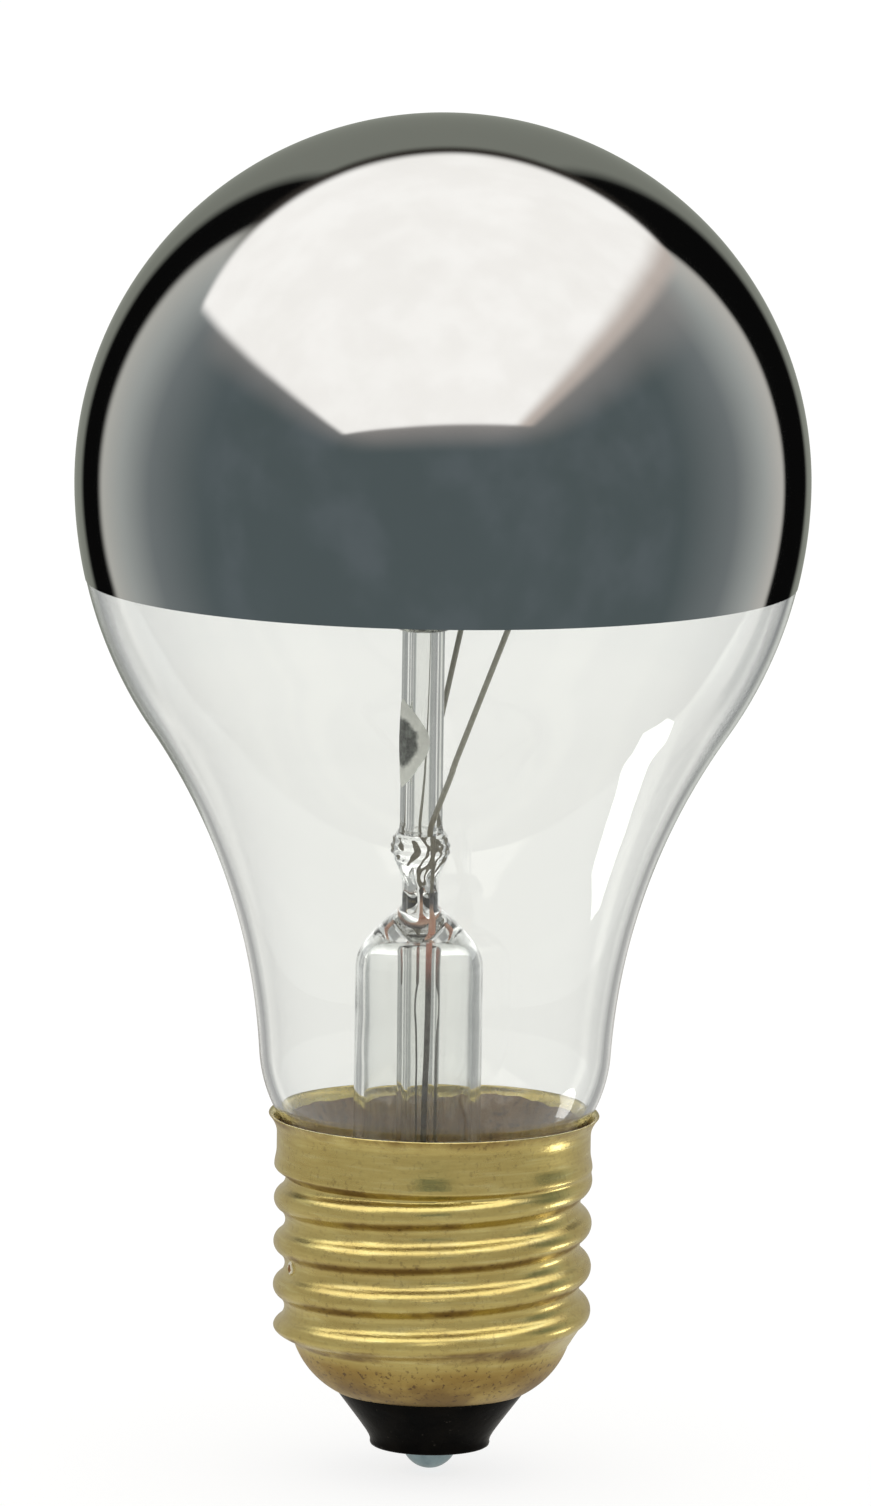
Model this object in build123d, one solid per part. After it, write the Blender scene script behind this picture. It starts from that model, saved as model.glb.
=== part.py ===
from build123d import *
import os
from math import acos, asin, cos, floor, pi, radians, degrees, sin, sqrt

# Half-mirrored incandescent bulb with a medium screw cap, in millimetres.
# The lamp's axis is +Z, the origin is the tip of its centre contact, and the globe is on top.

# Heights of the cap, stacked upwards from the contact tip
solder_height = 2.0
nose_height = 0.9
cone_height = 3.85
bowl_height = 3.65
thread_height = 15.0
collar_height = 2.65
lip_height = 1.6

# Rolled screw shell
sheet = 0.3
thread_major_diameter = 26.2
thread_minor_diameter = 24.3
thread_pitch = 3.63
first_crest_rise = 1.26
crest_fade = 1.7
groove_fade = 1.0
collar_diameter = 25.84
collar_blend = 1.3
lip_flare = 0.68
bowl_radius = 7.0
bowl_top_diameter = 22.5
bowl_edge_diameter = 16.1
edge_land = 0.1
weld_hole_diameter = 0.7
weld_angle = 199
shell_points = 36
bands_per_pitch = 10
bowl_bands = 7
collar_bands = 8

# Insulator, eyelet and solder
seat = 0.03
plug_depth = 2.65
dish_diameter = 6.4
dish_depth = 1.4
nose_diameter = 9.8
eyelet_diameter = 7.2
eyelet_thickness = 0.4
eyelet_tube_diameter = 2.0
eyelet_tube_height = 2.0
eyelet_bore = 1.3
solder_diameter = 4.5
solder_pin_height = 1.5

# Blown glass envelope, its mirror and the cement under it
globe_diameter = 60.0
shoulder_radius = 36.0
throat_radius = 53.0
waist_diameter = 28.7
tuck_radius = 12.0
tuck_start = 3.5
glass_wall = 0.6
rim_gap = 0.42
cement_gap = 0.6
neck_depth = 15.6
mirror_thickness = 0.06
mirror_drop = 8.2
cement_top_drop = 0.75
cement_bottom_drop = 10.6
cement_step = 0.3

# Glass stem: flare, press with its head, exhaust tube and arbor, sealed in a little off the lamp's axis
stem_shift = -1.4
flare_diameter = 10.5
flare_wall = 0.8
flare_height = 12.35
stem_shoulder_height = 5.1
cavity_height = 3.4
press_thickness = 3.0
press_width = 7.0
press_height = 1.9
head_thickness = 4.8
head_width = 7.3
head_height = 4.4
head_ring_share = 0.66
exhaust_diameter = 3.5
exhaust_bore = 1.8
exhaust_clearance = 0.5
exhaust_tip_height = 2.2
exhaust_tip_diameter = 1.2
arbor_diameter = 3.5
arbor_bore = 1.7
arbor_bore_end = 0.8
arbor_socket = 1.8
arbor_height = 16.4
button_diameter = 5.3
button_height = 2.4

# Lead wires, filament, its supports and the getter
lead_diameter = 0.48
lead_spread = 2.2
lead_front_shift = 0.75
lead_back_shift = -0.2
lead_bend = 1.5
lead_exit = 0.6
seal_drop = 1.6
seal_rise = 1.5
side_lead_diameter = 0.3
lead_turn_height = 1.2
filament_rise = 8.5
filament_arc_radius = 11.0
filament_diameter = 1.0
filament_front_angle = -30
filament_back_angle = 59
filament_tail = 1.0
hook_clearance = 0.05
hook_leg = 0.3
hook_rise = 1.2
hook_bend = 0.4
support_diameter = 0.3
support_depth = 1.2
support_run = 0.9
support_bend = 1.0
getter_height = 7.1
getter_width = 4.6
getter_angle = 205
getter_rise = 7.3
getter_thickness = 0.15

# Levels and radii that follow from the sizes above
cone_z = solder_height + nose_height
edge_z = cone_z + cone_height
thread_z = edge_z + bowl_height
collar_z = thread_z + thread_height
lip_z = collar_z + collar_height
rim_z = lip_z + lip_height
major_r = thread_major_diameter / 2
minor_r = thread_minor_diameter / 2
root_inner_r = minor_r - sheet
collar_r = collar_diameter / 2
bowl_top_r = bowl_top_diameter / 2
edge_r = bowl_edge_diameter / 2
thread_depth = major_r - minor_r
plug_z = edge_z + plug_depth
neck_r = root_inner_r - cement_gap
neck_z = rim_z - neck_depth
flare_r = flare_diameter / 2
flare_z = rim_z + flare_height
press_z = flare_z + stem_shoulder_height
cavity_z = flare_z + cavity_height
head_z = press_z + press_height
head_top_z = head_z + head_height
seal_z = press_z + seal_rise
seal_end_z = flare_z - seal_drop
button_z = head_top_z + arbor_height + button_height / 2
filament_z = button_z + filament_rise
lead_turn_z = plug_z + lead_turn_height
exhaust_end_z = lead_turn_z + exhaust_clearance


def polar(radius, angle, z):
    """Point at a radius, an angle about the axis in degrees and a height."""
    return (radius * cos(radians(angle)), radius * sin(radians(angle)), z)


def on_arc(centre, radius, slope):
    """Point on an arc where the surface leans in by slope; a negative radius gives a hollow arc."""
    return (centre[0] + radius * cos(slope), centre[1] - radius * sin(slope))


def arc(centre, radius, slope_a, slope_b):
    slopes = (slope_a, (slope_a + slope_b) / 2, slope_b)
    return ThreePointArc(*[on_arc(centre, radius, slope) for slope in slopes])


def turned(edges):
    """Solid turned about the axis from a closed outline in radius and height."""
    return revolve(Plane.XZ * make_face(edges), axis=Axis.Z)


def bent_wire(points, bends, diameter):
    """Round wire along straight runs with rounded bends."""
    path = FilletPolyline(*points, radius=bends)
    return sweep(Plane(origin=path @ 0, z_dir=path % 0) * Circle(diameter / 2), path=path)


def straight_wire(start, end, diameter):
    path = Line(start, end)
    return sweep(Plane(origin=start, z_dir=path % 0) * Circle(diameter / 2), path=path)


def on_stem(solid):
    """A piece made about the stem's own axis, moved to its place in the lamp."""
    return Pos(stem_shift, 0, 0) * solid


def ease(share):
    """Smooth step from 0 to 1."""
    share = min(max(share, 0), 1)
    return share * share * (3 - 2 * share)


def levels(bottom, top, count):
    return [bottom + (top - bottom) * step / count for step in range(count)]


# Bowl of the shell: one arc from the thread's foot down to the insulator
chord_r = (bowl_top_r + edge_r) / 2
chord_z = (thread_z + edge_z) / 2
half_chord = sqrt((bowl_top_r - edge_r) ** 2 + bowl_height**2) / 2
chord_lift = sqrt(bowl_radius**2 - half_chord**2) / (2 * half_chord)
bowl_centre = (chord_r - bowl_height * chord_lift, chord_z + (bowl_top_r - edge_r) * chord_lift)


def bowl_slope(z):
    return asin((bowl_centre[1] - z) / bowl_radius)


def bowl_r(z, inset):
    return bowl_centre[0] + sqrt((bowl_radius - inset) ** 2 - (z - bowl_centre[1]) ** 2)


# Screw shell: a right-hand rolled thread that fades into the collar above and the bowl below
def ridge_share(turns):
    """Height of the wavy thread section, 1 at a crest and 0 at a root, from two equal tangent arcs."""
    wave_r = ((thread_pitch / 4) ** 2 + (thread_depth / 2) ** 2) / thread_depth
    off_crest = abs(turns - floor(turns + 0.5)) * thread_pitch
    off_root = thread_pitch / 2 - off_crest
    if off_crest < off_root:
        return 1 - (wave_r - sqrt(wave_r**2 - off_crest**2)) / thread_depth
    return (wave_r - sqrt(wave_r**2 - off_root**2)) / thread_depth


def shell_r(angle, z, inset):
    if z < thread_z:
        return bowl_r(z, inset)
    crest_r = major_r + (collar_r - major_r) * ease((z - collar_z) / collar_blend)
    crest_r += lip_flare * max(0, (z - lip_z) / lip_height) ** 2
    turns = (z - thread_z - first_crest_rise) / thread_pitch - angle / (2 * pi) + 0.5
    groove = 1 - ease((z - collar_z + groove_fade) / groove_fade)
    ridge = 1 - groove * (1 - ridge_share(turns))
    risen = ease((z - thread_z) / crest_fade)
    foot_r = bowl_top_r + (minor_r - bowl_top_r) * risen
    return foot_r + (crest_r - foot_r) * ridge * risen - inset


def shell_section(z, radius_at):
    angles = [2 * pi * step / shell_points for step in range(shell_points)]
    points = [polar(radius_at(angle), degrees(angle), z) for angle in angles]
    return Wire([Spline(*points, periodic=True).edge()])


def shell_sections(inset):
    """Sections of one face of the sheet, whose lower edge is cut square to the sheet."""
    slopes = levels(bowl_slope(edge_z), bowl_slope(thread_z), bowl_bands)
    heights = [on_arc(bowl_centre, bowl_radius - inset, slope)[1] for slope in slopes]
    heights += levels(thread_z, collar_z, round(bands_per_pitch * thread_height / thread_pitch))
    heights += levels(collar_z, rim_z, collar_bands) + [rim_z]
    return [shell_section(z, lambda angle: shell_r(angle, z, inset)) for z in heights]


mouth = shell_section(edge_z, lambda angle: edge_r - edge_land)
shell_body = Solid.make_loft(shell_sections(0), ruled=True)
shell_hollow = Solid.make_loft([mouth, *shell_sections(sheet)], ruled=True)


# The side lead is welded into a small hole in the second groove from the collar
groove_turns = floor((thread_height / 2 - first_crest_rise) / thread_pitch) + 0.5
weld_z = thread_z + first_crest_rise + thread_pitch * (groove_turns + weld_angle / 360 - 0.5)
weld_plane = Plane(origin=polar(0, weld_angle, weld_z), z_dir=polar(1, weld_angle, 0))
side_lead_r = (neck_r + root_inner_r) / 2
weld_start = side_lead_r + side_lead_diameter / 2
weld_end = minor_r + sheet / 2
weld_hole = weld_plane.offset(neck_r) * extrude(Circle(weld_hole_diameter / 2), major_r - neck_r)
screw_shell = shell_body - shell_hollow - weld_hole
side_weld = weld_plane.offset(weld_start) * extrude(
    Circle(weld_hole_diameter / 2 - seat), weld_end - weld_start
)
weld_axis = Axis(weld_plane.origin, weld_plane.z_dir)
side_weld = fillet(side_weld.edges().sort_by(weld_axis)[-1], sheet / 3)

# Black glass plug, dished inside, with a recess for the eyelet
eyelet_r = eyelet_diameter / 2
eyelet_z = solder_height + eyelet_thickness
tube_r = eyelet_tube_diameter / 2
tube_z = eyelet_z + eyelet_tube_height
plug_inset = sheet + seat
plug_top = (bowl_r(plug_z, plug_inset), plug_z)
plug_foot = on_arc(bowl_centre, bowl_radius - plug_inset, bowl_slope(edge_z))
plug_middle_z = (plug_z + plug_foot[1]) / 2
cap_insulator = turned(
    [
        ThreePointArc(plug_top, (bowl_r(plug_middle_z, plug_inset), plug_middle_z), plug_foot),
        *Polyline(
            plug_foot,
            (plug_foot[0] - seat, edge_z),
            (nose_diameter / 2, cone_z),
            (nose_diameter / 2, solder_height),
            (eyelet_r + seat, solder_height),
            (eyelet_r + seat, eyelet_z),
            (tube_r + seat, eyelet_z),
            (tube_r + seat, tube_z),
            (dish_diameter / 2, plug_z - dish_depth),
            plug_top,
        ).edges(),
    ]
)

# Brass eyelet and the solder that fills and domes over it
bore_r = eyelet_bore / 2
centre_contact = turned(
    Polyline(
        (bore_r, solder_height),
        (eyelet_r, solder_height),
        (eyelet_r, eyelet_z),
        (tube_r, eyelet_z),
        (tube_r, tube_z),
        (bore_r, tube_z),
        close=True,
    ).edges()
)
solder_r = solder_diameter / 2
dome_r = (solder_r**2 + solder_height**2) / (2 * solder_height)
dome_slope = asin((solder_height - dome_r) / dome_r)
pin_z = solder_height + solder_pin_height
centre_solder = turned(
    [
        arc((0, dome_r), dome_r, pi / 2, -dome_slope),
        *Polyline(
            (solder_r, solder_height),
            (bore_r - seat, solder_height),
            (bore_r - seat, pin_z),
            (0, pin_z),
            (0, 0),
        ).edges(),
    ]
)

# Glass envelope: globe, fuller shoulder, hollow throat, tuck into the rim and neck, all tangent
globe_r = globe_diameter / 2
waist_r = waist_diameter / 2
tuck_slope = radians(tuck_start)
rim_glass_r = collar_r + lip_flare - sheet - rim_gap
tuck_r = waist_r + throat_radius * (1 - cos(tuck_slope))
rim_slope = acos(cos(tuck_slope) - (tuck_r - rim_glass_r) / tuck_radius)
neck_radius = (rim_glass_r - neck_r) / (1 - cos(rim_slope))
turn_slope = acos((waist_r + throat_radius + shoulder_radius - globe_r) / (shoulder_radius + throat_radius))
tuck_centre = (rim_glass_r - tuck_radius * cos(rim_slope), rim_z + tuck_radius * sin(rim_slope))
tuck_z = tuck_centre[1] - tuck_radius * sin(tuck_slope)
throat_centre = (waist_r + throat_radius, tuck_z - throat_radius * sin(tuck_slope))
globe_z = throat_centre[1] + (throat_radius + shoulder_radius) * sin(turn_slope)
shoulder_centre = (globe_r - shoulder_radius, globe_z)
neck_centre = (neck_r + neck_radius, rim_z - neck_radius * sin(rim_slope))
mirror_slope = asin(mirror_drop / shoulder_radius)


def bulb_body(inset):
    """Solid inside the envelope's outline, moved in by inset."""
    pole_z = globe_z + globe_r - inset
    outline = [
        arc((0, globe_z), globe_r - inset, -pi / 2, 0),
        arc(shoulder_centre, shoulder_radius - inset, 0, turn_slope),
        arc(throat_centre, -throat_radius - inset, turn_slope, tuck_slope),
        arc(tuck_centre, tuck_radius - inset, tuck_slope, rim_slope),
        arc(neck_centre, -neck_radius - inset, rim_slope, 0),
    ]
    neck = Polyline((neck_r - inset, neck_centre[1]), (neck_r - inset, neck_z), (0, neck_z), (0, pole_z))
    return turned(outline + neck.edges())


envelope = bulb_body(0)
glass_bulb = envelope - bulb_body(glass_wall)

mirror_edge = [on_arc(shoulder_centre, shoulder_radius + step, mirror_slope) for step in (0, mirror_thickness)]
mirror_coating = turned(
    [
        arc((0, globe_z), globe_r, -pi / 2, 0),
        arc(shoulder_centre, shoulder_radius, 0, mirror_slope),
        Line(*mirror_edge),
        arc(shoulder_centre, shoulder_radius + mirror_thickness, mirror_slope, 0),
        arc((0, globe_z), globe_r + mirror_thickness, 0, -pi / 2),
        Line((0, globe_z + globe_r + mirror_thickness), (0, globe_z + globe_r)),
    ]
)

# Cement between the neck and the shell, stepped to clear the thread's roots
cement_r = collar_r - sheet - seat
cement_ring = turned(
    Polyline(
        (neck_r - glass_wall, rim_z - cement_bottom_drop),
        (root_inner_r - seat, rim_z - cement_bottom_drop),
        (root_inner_r - seat, collar_z - groove_fade + cement_step),
        (cement_r, collar_z + cement_step),
        (cement_r, rim_z - cement_top_drop),
        (neck_r - glass_wall, rim_z - cement_top_drop),
        close=True,
    ).edges()
)
capping_cement = cement_ring - envelope

# Leads: each is butt-welded from an inner wire, a seal wire in the press and an outer wire.
# Inner and seal wires, filament, supports, arbor and exhaust tube are made about the stem's own axis.
lead_front = (lead_front_shift, -lead_spread)
lead_back = (lead_back_shift, lead_spread)
tail_angle = degrees(filament_tail / filament_arc_radius)


def hook_step(diameter):
    """How far a hook's wire stands off the middle of the filament."""
    return (filament_diameter + diameter) / 2 + hook_clearance


def inner_lead(foot, angle):
    """Nickel wire out of the press, leaning out to the filament and hooked over its end."""
    step = hook_step(lead_diameter)
    outside = filament_arc_radius + step
    inside = filament_arc_radius - step
    points = [
        (*foot, seal_z),
        (*foot, head_top_z + lead_exit),
        polar(outside, angle, filament_z - hook_rise),
        polar(outside, angle, filament_z + step),
        polar(inside, angle, filament_z + step),
        polar(inside, angle, filament_z - hook_leg),
    ]
    return bent_wire(points, [lead_bend, lead_bend, hook_bend, hook_bend], lead_diameter)


def seal_wire(foot):
    return straight_wire((*foot, seal_end_z), (*foot, seal_z), lead_diameter)


inner_lead_front = inner_lead(lead_front, filament_front_angle - tail_angle)
inner_lead_back = inner_lead(lead_back, filament_back_angle + tail_angle)
seal_wire_front = seal_wire(lead_front)
seal_wire_back = seal_wire(lead_back)

outer_front = (stem_shift + lead_front_shift, -lead_spread)
outer_back = (stem_shift + lead_back_shift, lead_spread)
centre_lead = bent_wire(
    [(*outer_front, seal_end_z), (*outer_front, lead_turn_z), (0, 0, tube_z + lead_exit), (0, 0, pin_z)],
    [lead_bend, lead_exit],
    lead_diameter,
)
side_turn_z = lead_turn_z + lead_exit
side_lead = bent_wire(
    [
        (*outer_back, seal_end_z),
        (*outer_back, side_turn_z),
        polar(side_lead_r, weld_angle, side_turn_z),
        polar(side_lead_r, weld_angle, weld_z + weld_hole_diameter / 2),
    ],
    lead_bend,
    side_lead_diameter,
)

# Filament: the outer form of the coil, bent in a horseshoe with its opening to the right
filament_turn = filament_back_angle - 360 - filament_front_angle
filament_path = CenterArc((0, 0, filament_z), filament_arc_radius, filament_front_angle, filament_turn)
filament = sweep(
    Plane(origin=filament_path @ 0, z_dir=filament_path % 0) * Circle(filament_diameter / 2),
    path=filament_path,
)


button_r = button_diameter / 2
button_foot_z = button_z - button_height / 2
button_top_z = button_z + button_height / 2


def support(angle):
    """Hook from the arbor's button, out and up to the filament and over it."""
    step = hook_step(support_diameter)
    inside = filament_arc_radius - step
    outside = filament_arc_radius + step
    points = [
        polar(button_r - support_depth, angle, button_z),
        polar(button_r + support_run, angle, button_z),
        polar(inside, angle, filament_z - hook_rise),
        polar(inside, angle, filament_z + step),
        polar(outside, angle, filament_z + step),
        polar(outside, angle, filament_z - hook_leg),
    ]
    return bent_wire(points, [support_bend, support_bend, hook_bend, hook_bend], support_diameter)


support_angles = [filament_front_angle + filament_turn * share for share in (1 / 4, 1 / 2, 3 / 4)]
support_front, support_left, support_back = [support(angle) for angle in support_angles]

# Arbor: glass tube standing in the head of the press, closed by its button round the supports
arbor_r = arbor_diameter / 2
arbor_bore_r = arbor_bore / 2
arbor_foot_z = head_top_z - arbor_socket
arbor_bore_z = button_top_z - arbor_bore_end
swell_r = (4 * button_r - arbor_r) / 3
arbor = turned(
    [
        Bezier(
            (arbor_r, button_foot_z),
            (swell_r, button_foot_z),
            (swell_r, button_top_z),
            (arbor_r, button_top_z),
        ),
        *Polyline(
            (arbor_r, button_top_z),
            (0, button_top_z),
            (0, arbor_bore_z),
            (arbor_bore_r, arbor_bore_z),
            (arbor_bore_r, arbor_foot_z),
            (arbor_r, arbor_foot_z),
            (arbor_r, button_foot_z),
        ).edges(),
    ]
)
for angle in support_angles:
    bore_plane = Plane(origin=(0, 0, button_z), z_dir=polar(1, angle, 0))
    bore = extrude(Circle(support_diameter / 2 + seat), button_diameter)
    arbor -= bore_plane.offset(button_r - support_depth) * bore

# Getter: a thin dab of paint on the side of the arbor
getter_z = head_top_z + getter_rise
getter_sleeve = Pos(0, 0, getter_z) * (
    Cylinder(arbor_r + getter_thickness, getter_height) - Cylinder(arbor_r, getter_height)
)
getter_plane = Plane(
    origin=(0, 0, getter_z), x_dir=polar(1, getter_angle + 90, 0), z_dir=polar(1, getter_angle, 0)
)
getter_outline = getter_plane * Ellipse(getter_width / 2, getter_height / 2)
getter_spot = getter_sleeve & extrude(getter_outline, arbor_diameter)

# Stem: flare tube whose flange is sealed to the neck, drawn in to a flat press with a swollen head
trumpet_rim_r = neck_r - glass_wall - abs(stem_shift)
trumpet_r = trumpet_rim_r - flare_r
trumpet_centre = (trumpet_rim_r, neck_z + trumpet_r)
flange_z = neck_z - flare_wall
flange = Pos(0, 0, flange_z) * extrude(Circle(neck_r), flare_wall)
flange -= on_stem(Pos(0, 0, flange_z) * extrude(Circle(trumpet_rim_r), flare_wall))
flare = turned(
    [
        arc(trumpet_centre, -trumpet_r, 0, -pi / 2),
        Line((trumpet_rim_r, neck_z), (trumpet_rim_r, flange_z)),
        arc(trumpet_centre, -trumpet_r - flare_wall, -pi / 2, 0),
        *Polyline(
            (flare_r - flare_wall, trumpet_centre[1]),
            (flare_r - flare_wall, flare_z),
            (flare_r, flare_z),
            (flare_r, trumpet_centre[1]),
        ).edges(),
    ]
)


def stem_section(z, width, thickness):
    return Pos(0, 0, z) * Rot(0, 0, 90) * Ellipse(width / 2, thickness / 2)


def shoulder_section(share, inset):
    swell = cos(share * pi / 2)
    width = press_width + (flare_diameter - press_width) * swell - 2 * inset
    thickness = press_thickness + (flare_diameter - press_thickness) * swell - 2 * inset
    return stem_section(flare_z + share * stem_shoulder_height, width, thickness)


def head_section(share):
    """Section of the head: it swells to a ring near its top and rounds off above it."""
    swell = sin(pi / 2 * min(share / head_ring_share, 1) ** 1.6)
    swell *= cos(pi / 3 * max(share - head_ring_share, 0) / (1 - head_ring_share))
    width = press_width + (head_width - press_width) * swell
    thickness = press_thickness + (head_thickness - press_thickness) * swell
    return stem_section(head_z + share * head_height, width, thickness)


cavity_share = cavity_height / stem_shoulder_height
press = loft(
    [shoulder_section(step / 5, 0) for step in range(6)] + [head_section(step / 8) for step in range(9)]
)
cavity = loft([shoulder_section(cavity_share * step / 4, flare_wall) for step in range(5)])
socket = Pos(0, 0, arbor_foot_z) * extrude(Circle(arbor_r + seat), head_height)
stem = flare + press - cavity - socket
for foot in (lead_front, lead_back):
    stem -= Pos(*foot, cavity_z) * extrude(Circle(lead_diameter / 2 + seat), head_top_z - cavity_z)
stem_flare = flange + on_stem(stem)

# Exhaust tube: hangs in the flare and is drawn to a closed tip above the turn of the leads
exhaust_r = exhaust_diameter / 2
exhaust_bore_r = exhaust_bore / 2
exhaust_cone_z = exhaust_end_z + exhaust_tip_height
exhaust_tube = turned(
    Polyline(
        (exhaust_bore_r, cavity_z),
        (exhaust_r, cavity_z),
        (exhaust_r, exhaust_cone_z),
        (exhaust_tip_diameter / 2, exhaust_end_z),
        (0, exhaust_end_z),
        (0, exhaust_cone_z),
        (exhaust_bore_r, exhaust_cone_z + exhaust_bore_r),
        close=True,
    ).edges()
)

nodes = {
    "glass_bulb": glass_bulb,
    "mirror_coating": mirror_coating,
    "stem_flare": stem_flare,
    "exhaust_tube": on_stem(exhaust_tube),
    "arbor": on_stem(arbor),
    "filament": on_stem(filament),
    "inner_lead_front": on_stem(inner_lead_front),
    "inner_lead_back": on_stem(inner_lead_back),
    "seal_wire_front": on_stem(seal_wire_front),
    "seal_wire_back": on_stem(seal_wire_back),
    "centre_lead": centre_lead,
    "side_lead": side_lead,
    "support_front": on_stem(support_front),
    "support_left": on_stem(support_left),
    "support_back": on_stem(support_back),
    "getter_spot": on_stem(getter_spot),
    "screw_shell": screw_shell,
    "cap_insulator": cap_insulator,
    "centre_contact": centre_contact,
    "centre_solder": centre_solder,
    "side_weld": side_weld,
    "capping_cement": capping_cement,
}

os.makedirs("parts", exist_ok=True)
for name, solid in nodes.items():
    export_step(solid, f"parts/{name}.step")
print(f"globe centre {globe_z:.2f}, overall length {globe_z + globe_r + mirror_thickness:.2f}")
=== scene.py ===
# %% [markdown]
# # A half-mirrored incandescent bulb
# A clear blown bulb whose upper half is silvered, on a brass screw cap. The CAD model gives every piece
# its place and size. This lesson dresses those pieces with finer meshes and with finishes built from
# nodes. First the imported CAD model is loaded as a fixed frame, and its box is kept.

# %% Load the frame
import math
import bmesh
import bpy
from mathutils import Matrix, Vector, noise


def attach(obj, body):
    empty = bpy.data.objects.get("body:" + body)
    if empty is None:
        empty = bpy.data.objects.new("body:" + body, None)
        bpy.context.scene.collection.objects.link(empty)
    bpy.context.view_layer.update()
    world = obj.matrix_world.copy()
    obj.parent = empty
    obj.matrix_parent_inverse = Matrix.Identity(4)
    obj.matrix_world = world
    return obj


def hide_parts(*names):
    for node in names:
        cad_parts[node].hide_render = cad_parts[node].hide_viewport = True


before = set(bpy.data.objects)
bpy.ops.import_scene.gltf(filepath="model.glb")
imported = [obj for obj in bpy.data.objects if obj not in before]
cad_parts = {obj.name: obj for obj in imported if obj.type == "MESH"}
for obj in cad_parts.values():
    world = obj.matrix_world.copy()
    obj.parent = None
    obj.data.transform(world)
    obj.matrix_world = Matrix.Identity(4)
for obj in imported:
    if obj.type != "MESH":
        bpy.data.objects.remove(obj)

scene = bpy.context.scene
scene.view_settings.view_transform = "Standard"
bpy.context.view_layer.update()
print("frame loaded:", len(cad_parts), "CAD nodes")

# %% [markdown]
# ## Camera
# The photograph was taken with a long lens from a little above: the rim of the cap shows as an ellipse.
# The camera looks at a point near the lamp's axis, and a small roll gives the slight lean of the
# photograph.

# %% Camera
photo_height, focal_pixels = 1506, 11600
eye = Vector((-0.0003, -0.9391, 0.1997))
aim = Vector((-0.0003, 0, 0.05965))
camera_roll = math.radians(0.8)

camera_data = bpy.data.cameras.new("camera")
camera_data.sensor_fit = "VERTICAL"
camera_data.sensor_height = 24
camera_data.lens = camera_data.sensor_height * focal_pixels / photo_height
camera = bpy.data.objects.new("camera", camera_data)
scene.collection.objects.link(camera)
look = (aim - eye).to_track_quat("-Z", "Y").to_matrix().to_4x4()
camera.matrix_world = Matrix.Translation(eye) @ look @ Matrix.Rotation(camera_roll, 4, "Z")
scene.camera = camera
print("camera lens", round(camera_data.lens, 1), "mm")

# %% [markdown]
# ## Nodes in short
# Every finish is a small network of nodes. A few helpers keep those networks readable: they add a node,
# fill its inputs with values or links, do a step of arithmetic or mix two colours.

# %% Helpers for node networks
def set_inputs(node, inputs):
    """Fill inputs of a node with values, or with links from other nodes."""
    for name, value in inputs.items():
        if isinstance(value, bpy.types.NodeSocket):
            node.id_data.links.new(value, node.inputs[name])
        else:
            node.inputs[name].default_value = value


def add_node(tree, kind, inputs=None, **settings):
    """Add a shader node, set its options and fill its inputs."""
    node = tree.nodes.new("ShaderNode" + kind)
    for name, value in settings.items():
        setattr(node, name, value)
    set_inputs(node, inputs or {})
    return node


def maths(tree, operation, first, second=0.0, clamp=False):
    """One step of arithmetic between numbers or node outputs."""
    inputs = {0: first, 1: second}
    return add_node(tree, "Math", inputs, operation=operation, use_clamp=clamp).outputs[0]


def times(tree, first, second):
    return maths(tree, "MULTIPLY", first, second)


def scaled(tree, value, factor, offset):
    """A value times a factor, plus an offset."""
    return maths(tree, "ADD", times(tree, value, factor), offset)


def rise(tree, value, start, end):
    """A soft step up: 0 before start, 1 after end."""
    inputs = {"Value": value, "From Min": start, "From Max": end}
    return add_node(tree, "MapRange", inputs, interpolation_type="SMOOTHSTEP").outputs[0]


def fall(tree, value, start, end):
    """A soft step down: 1 before start, 0 after end."""
    return maths(tree, "SUBTRACT", 1.0, rise(tree, value, start, end))


print("helpers for numbers are ready")

# %% Helpers for colours and patterns
def mix_colours(tree, share, first, second, blend="MIX"):
    """Mix two colours, given as values or node outputs."""
    inputs = {0: share, 6: first, 7: second}
    return add_node(tree, "Mix", inputs, data_type="RGBA", blend_type=blend).outputs[2]


def ramp(tree, value, stops):
    """A colour ramp with (position, colour) stops."""
    node = add_node(tree, "ValToRGB", {0: value})
    while len(node.color_ramp.elements) < len(stops):
        node.color_ramp.elements.new(0.5)
    for element, (position, colour) in zip(node.color_ramp.elements, stops):
        element.position = position
        element.color = (*colour, 1)
    return node.outputs[0]


def split(tree, vector):
    """The x, y and z of a vector."""
    return add_node(tree, "SeparateXYZ", {0: vector}).outputs


def speckle(tree, vector, scale, detail=4.0, roughness=0.55):
    """Noise as a number from 0 to 1."""
    inputs = {"Vector": vector, "Scale": scale, "Detail": detail, "Roughness": roughness}
    return add_node(tree, "TexNoise", inputs).outputs[0]


print("helpers for colours are ready")

# %% [markdown]
# ## Studio
# A mirror has no colour of its own: it shows the room. The crown in the photograph shows a large soft box
# overhead, pale boards that fade towards a dim front, a black strip behind each board and a grey wall
# behind. All of that is far away next to a bulb, so it is painted on the world by direction, with a ramp
# round the compass and a faint cloud for things in the room.

# %% Studio walls round the compass
slate, black, grey_wall = (0.08, 0.102, 0.107), (0.003, 0.003, 0.003), (0.19, 0.2, 0.175)
half_lit = (0.16, 0.18, 0.185)
wall_stops = [
    (-180, grey_wall), (-157, grey_wall), (-152, black), (-137, black), (-133, (0.46, 0.46, 0.43)),
    (-120, (0.34, 0.36, 0.35)), (-104, half_lit), (-80, slate), (80, slate), (104, half_lit),
    (120, (0.35, 0.37, 0.36)), (132, (0.5, 0.49, 0.46)), (135, black), (156, black), (161, grey_wall),
    (180, grey_wall),
]
ground_tone, clutter_tone = (0.42, 0.4, 0.36, 1), (0.1, 0.122, 0.132, 1)

world = bpy.data.worlds.new("studio")
scene.world = world
world.use_nodes = True
sky = world.node_tree
sky.nodes.clear()
direction = add_node(sky, "TexCoord").outputs["Generated"]
to_right, to_back, to_top = split(sky, direction)


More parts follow.
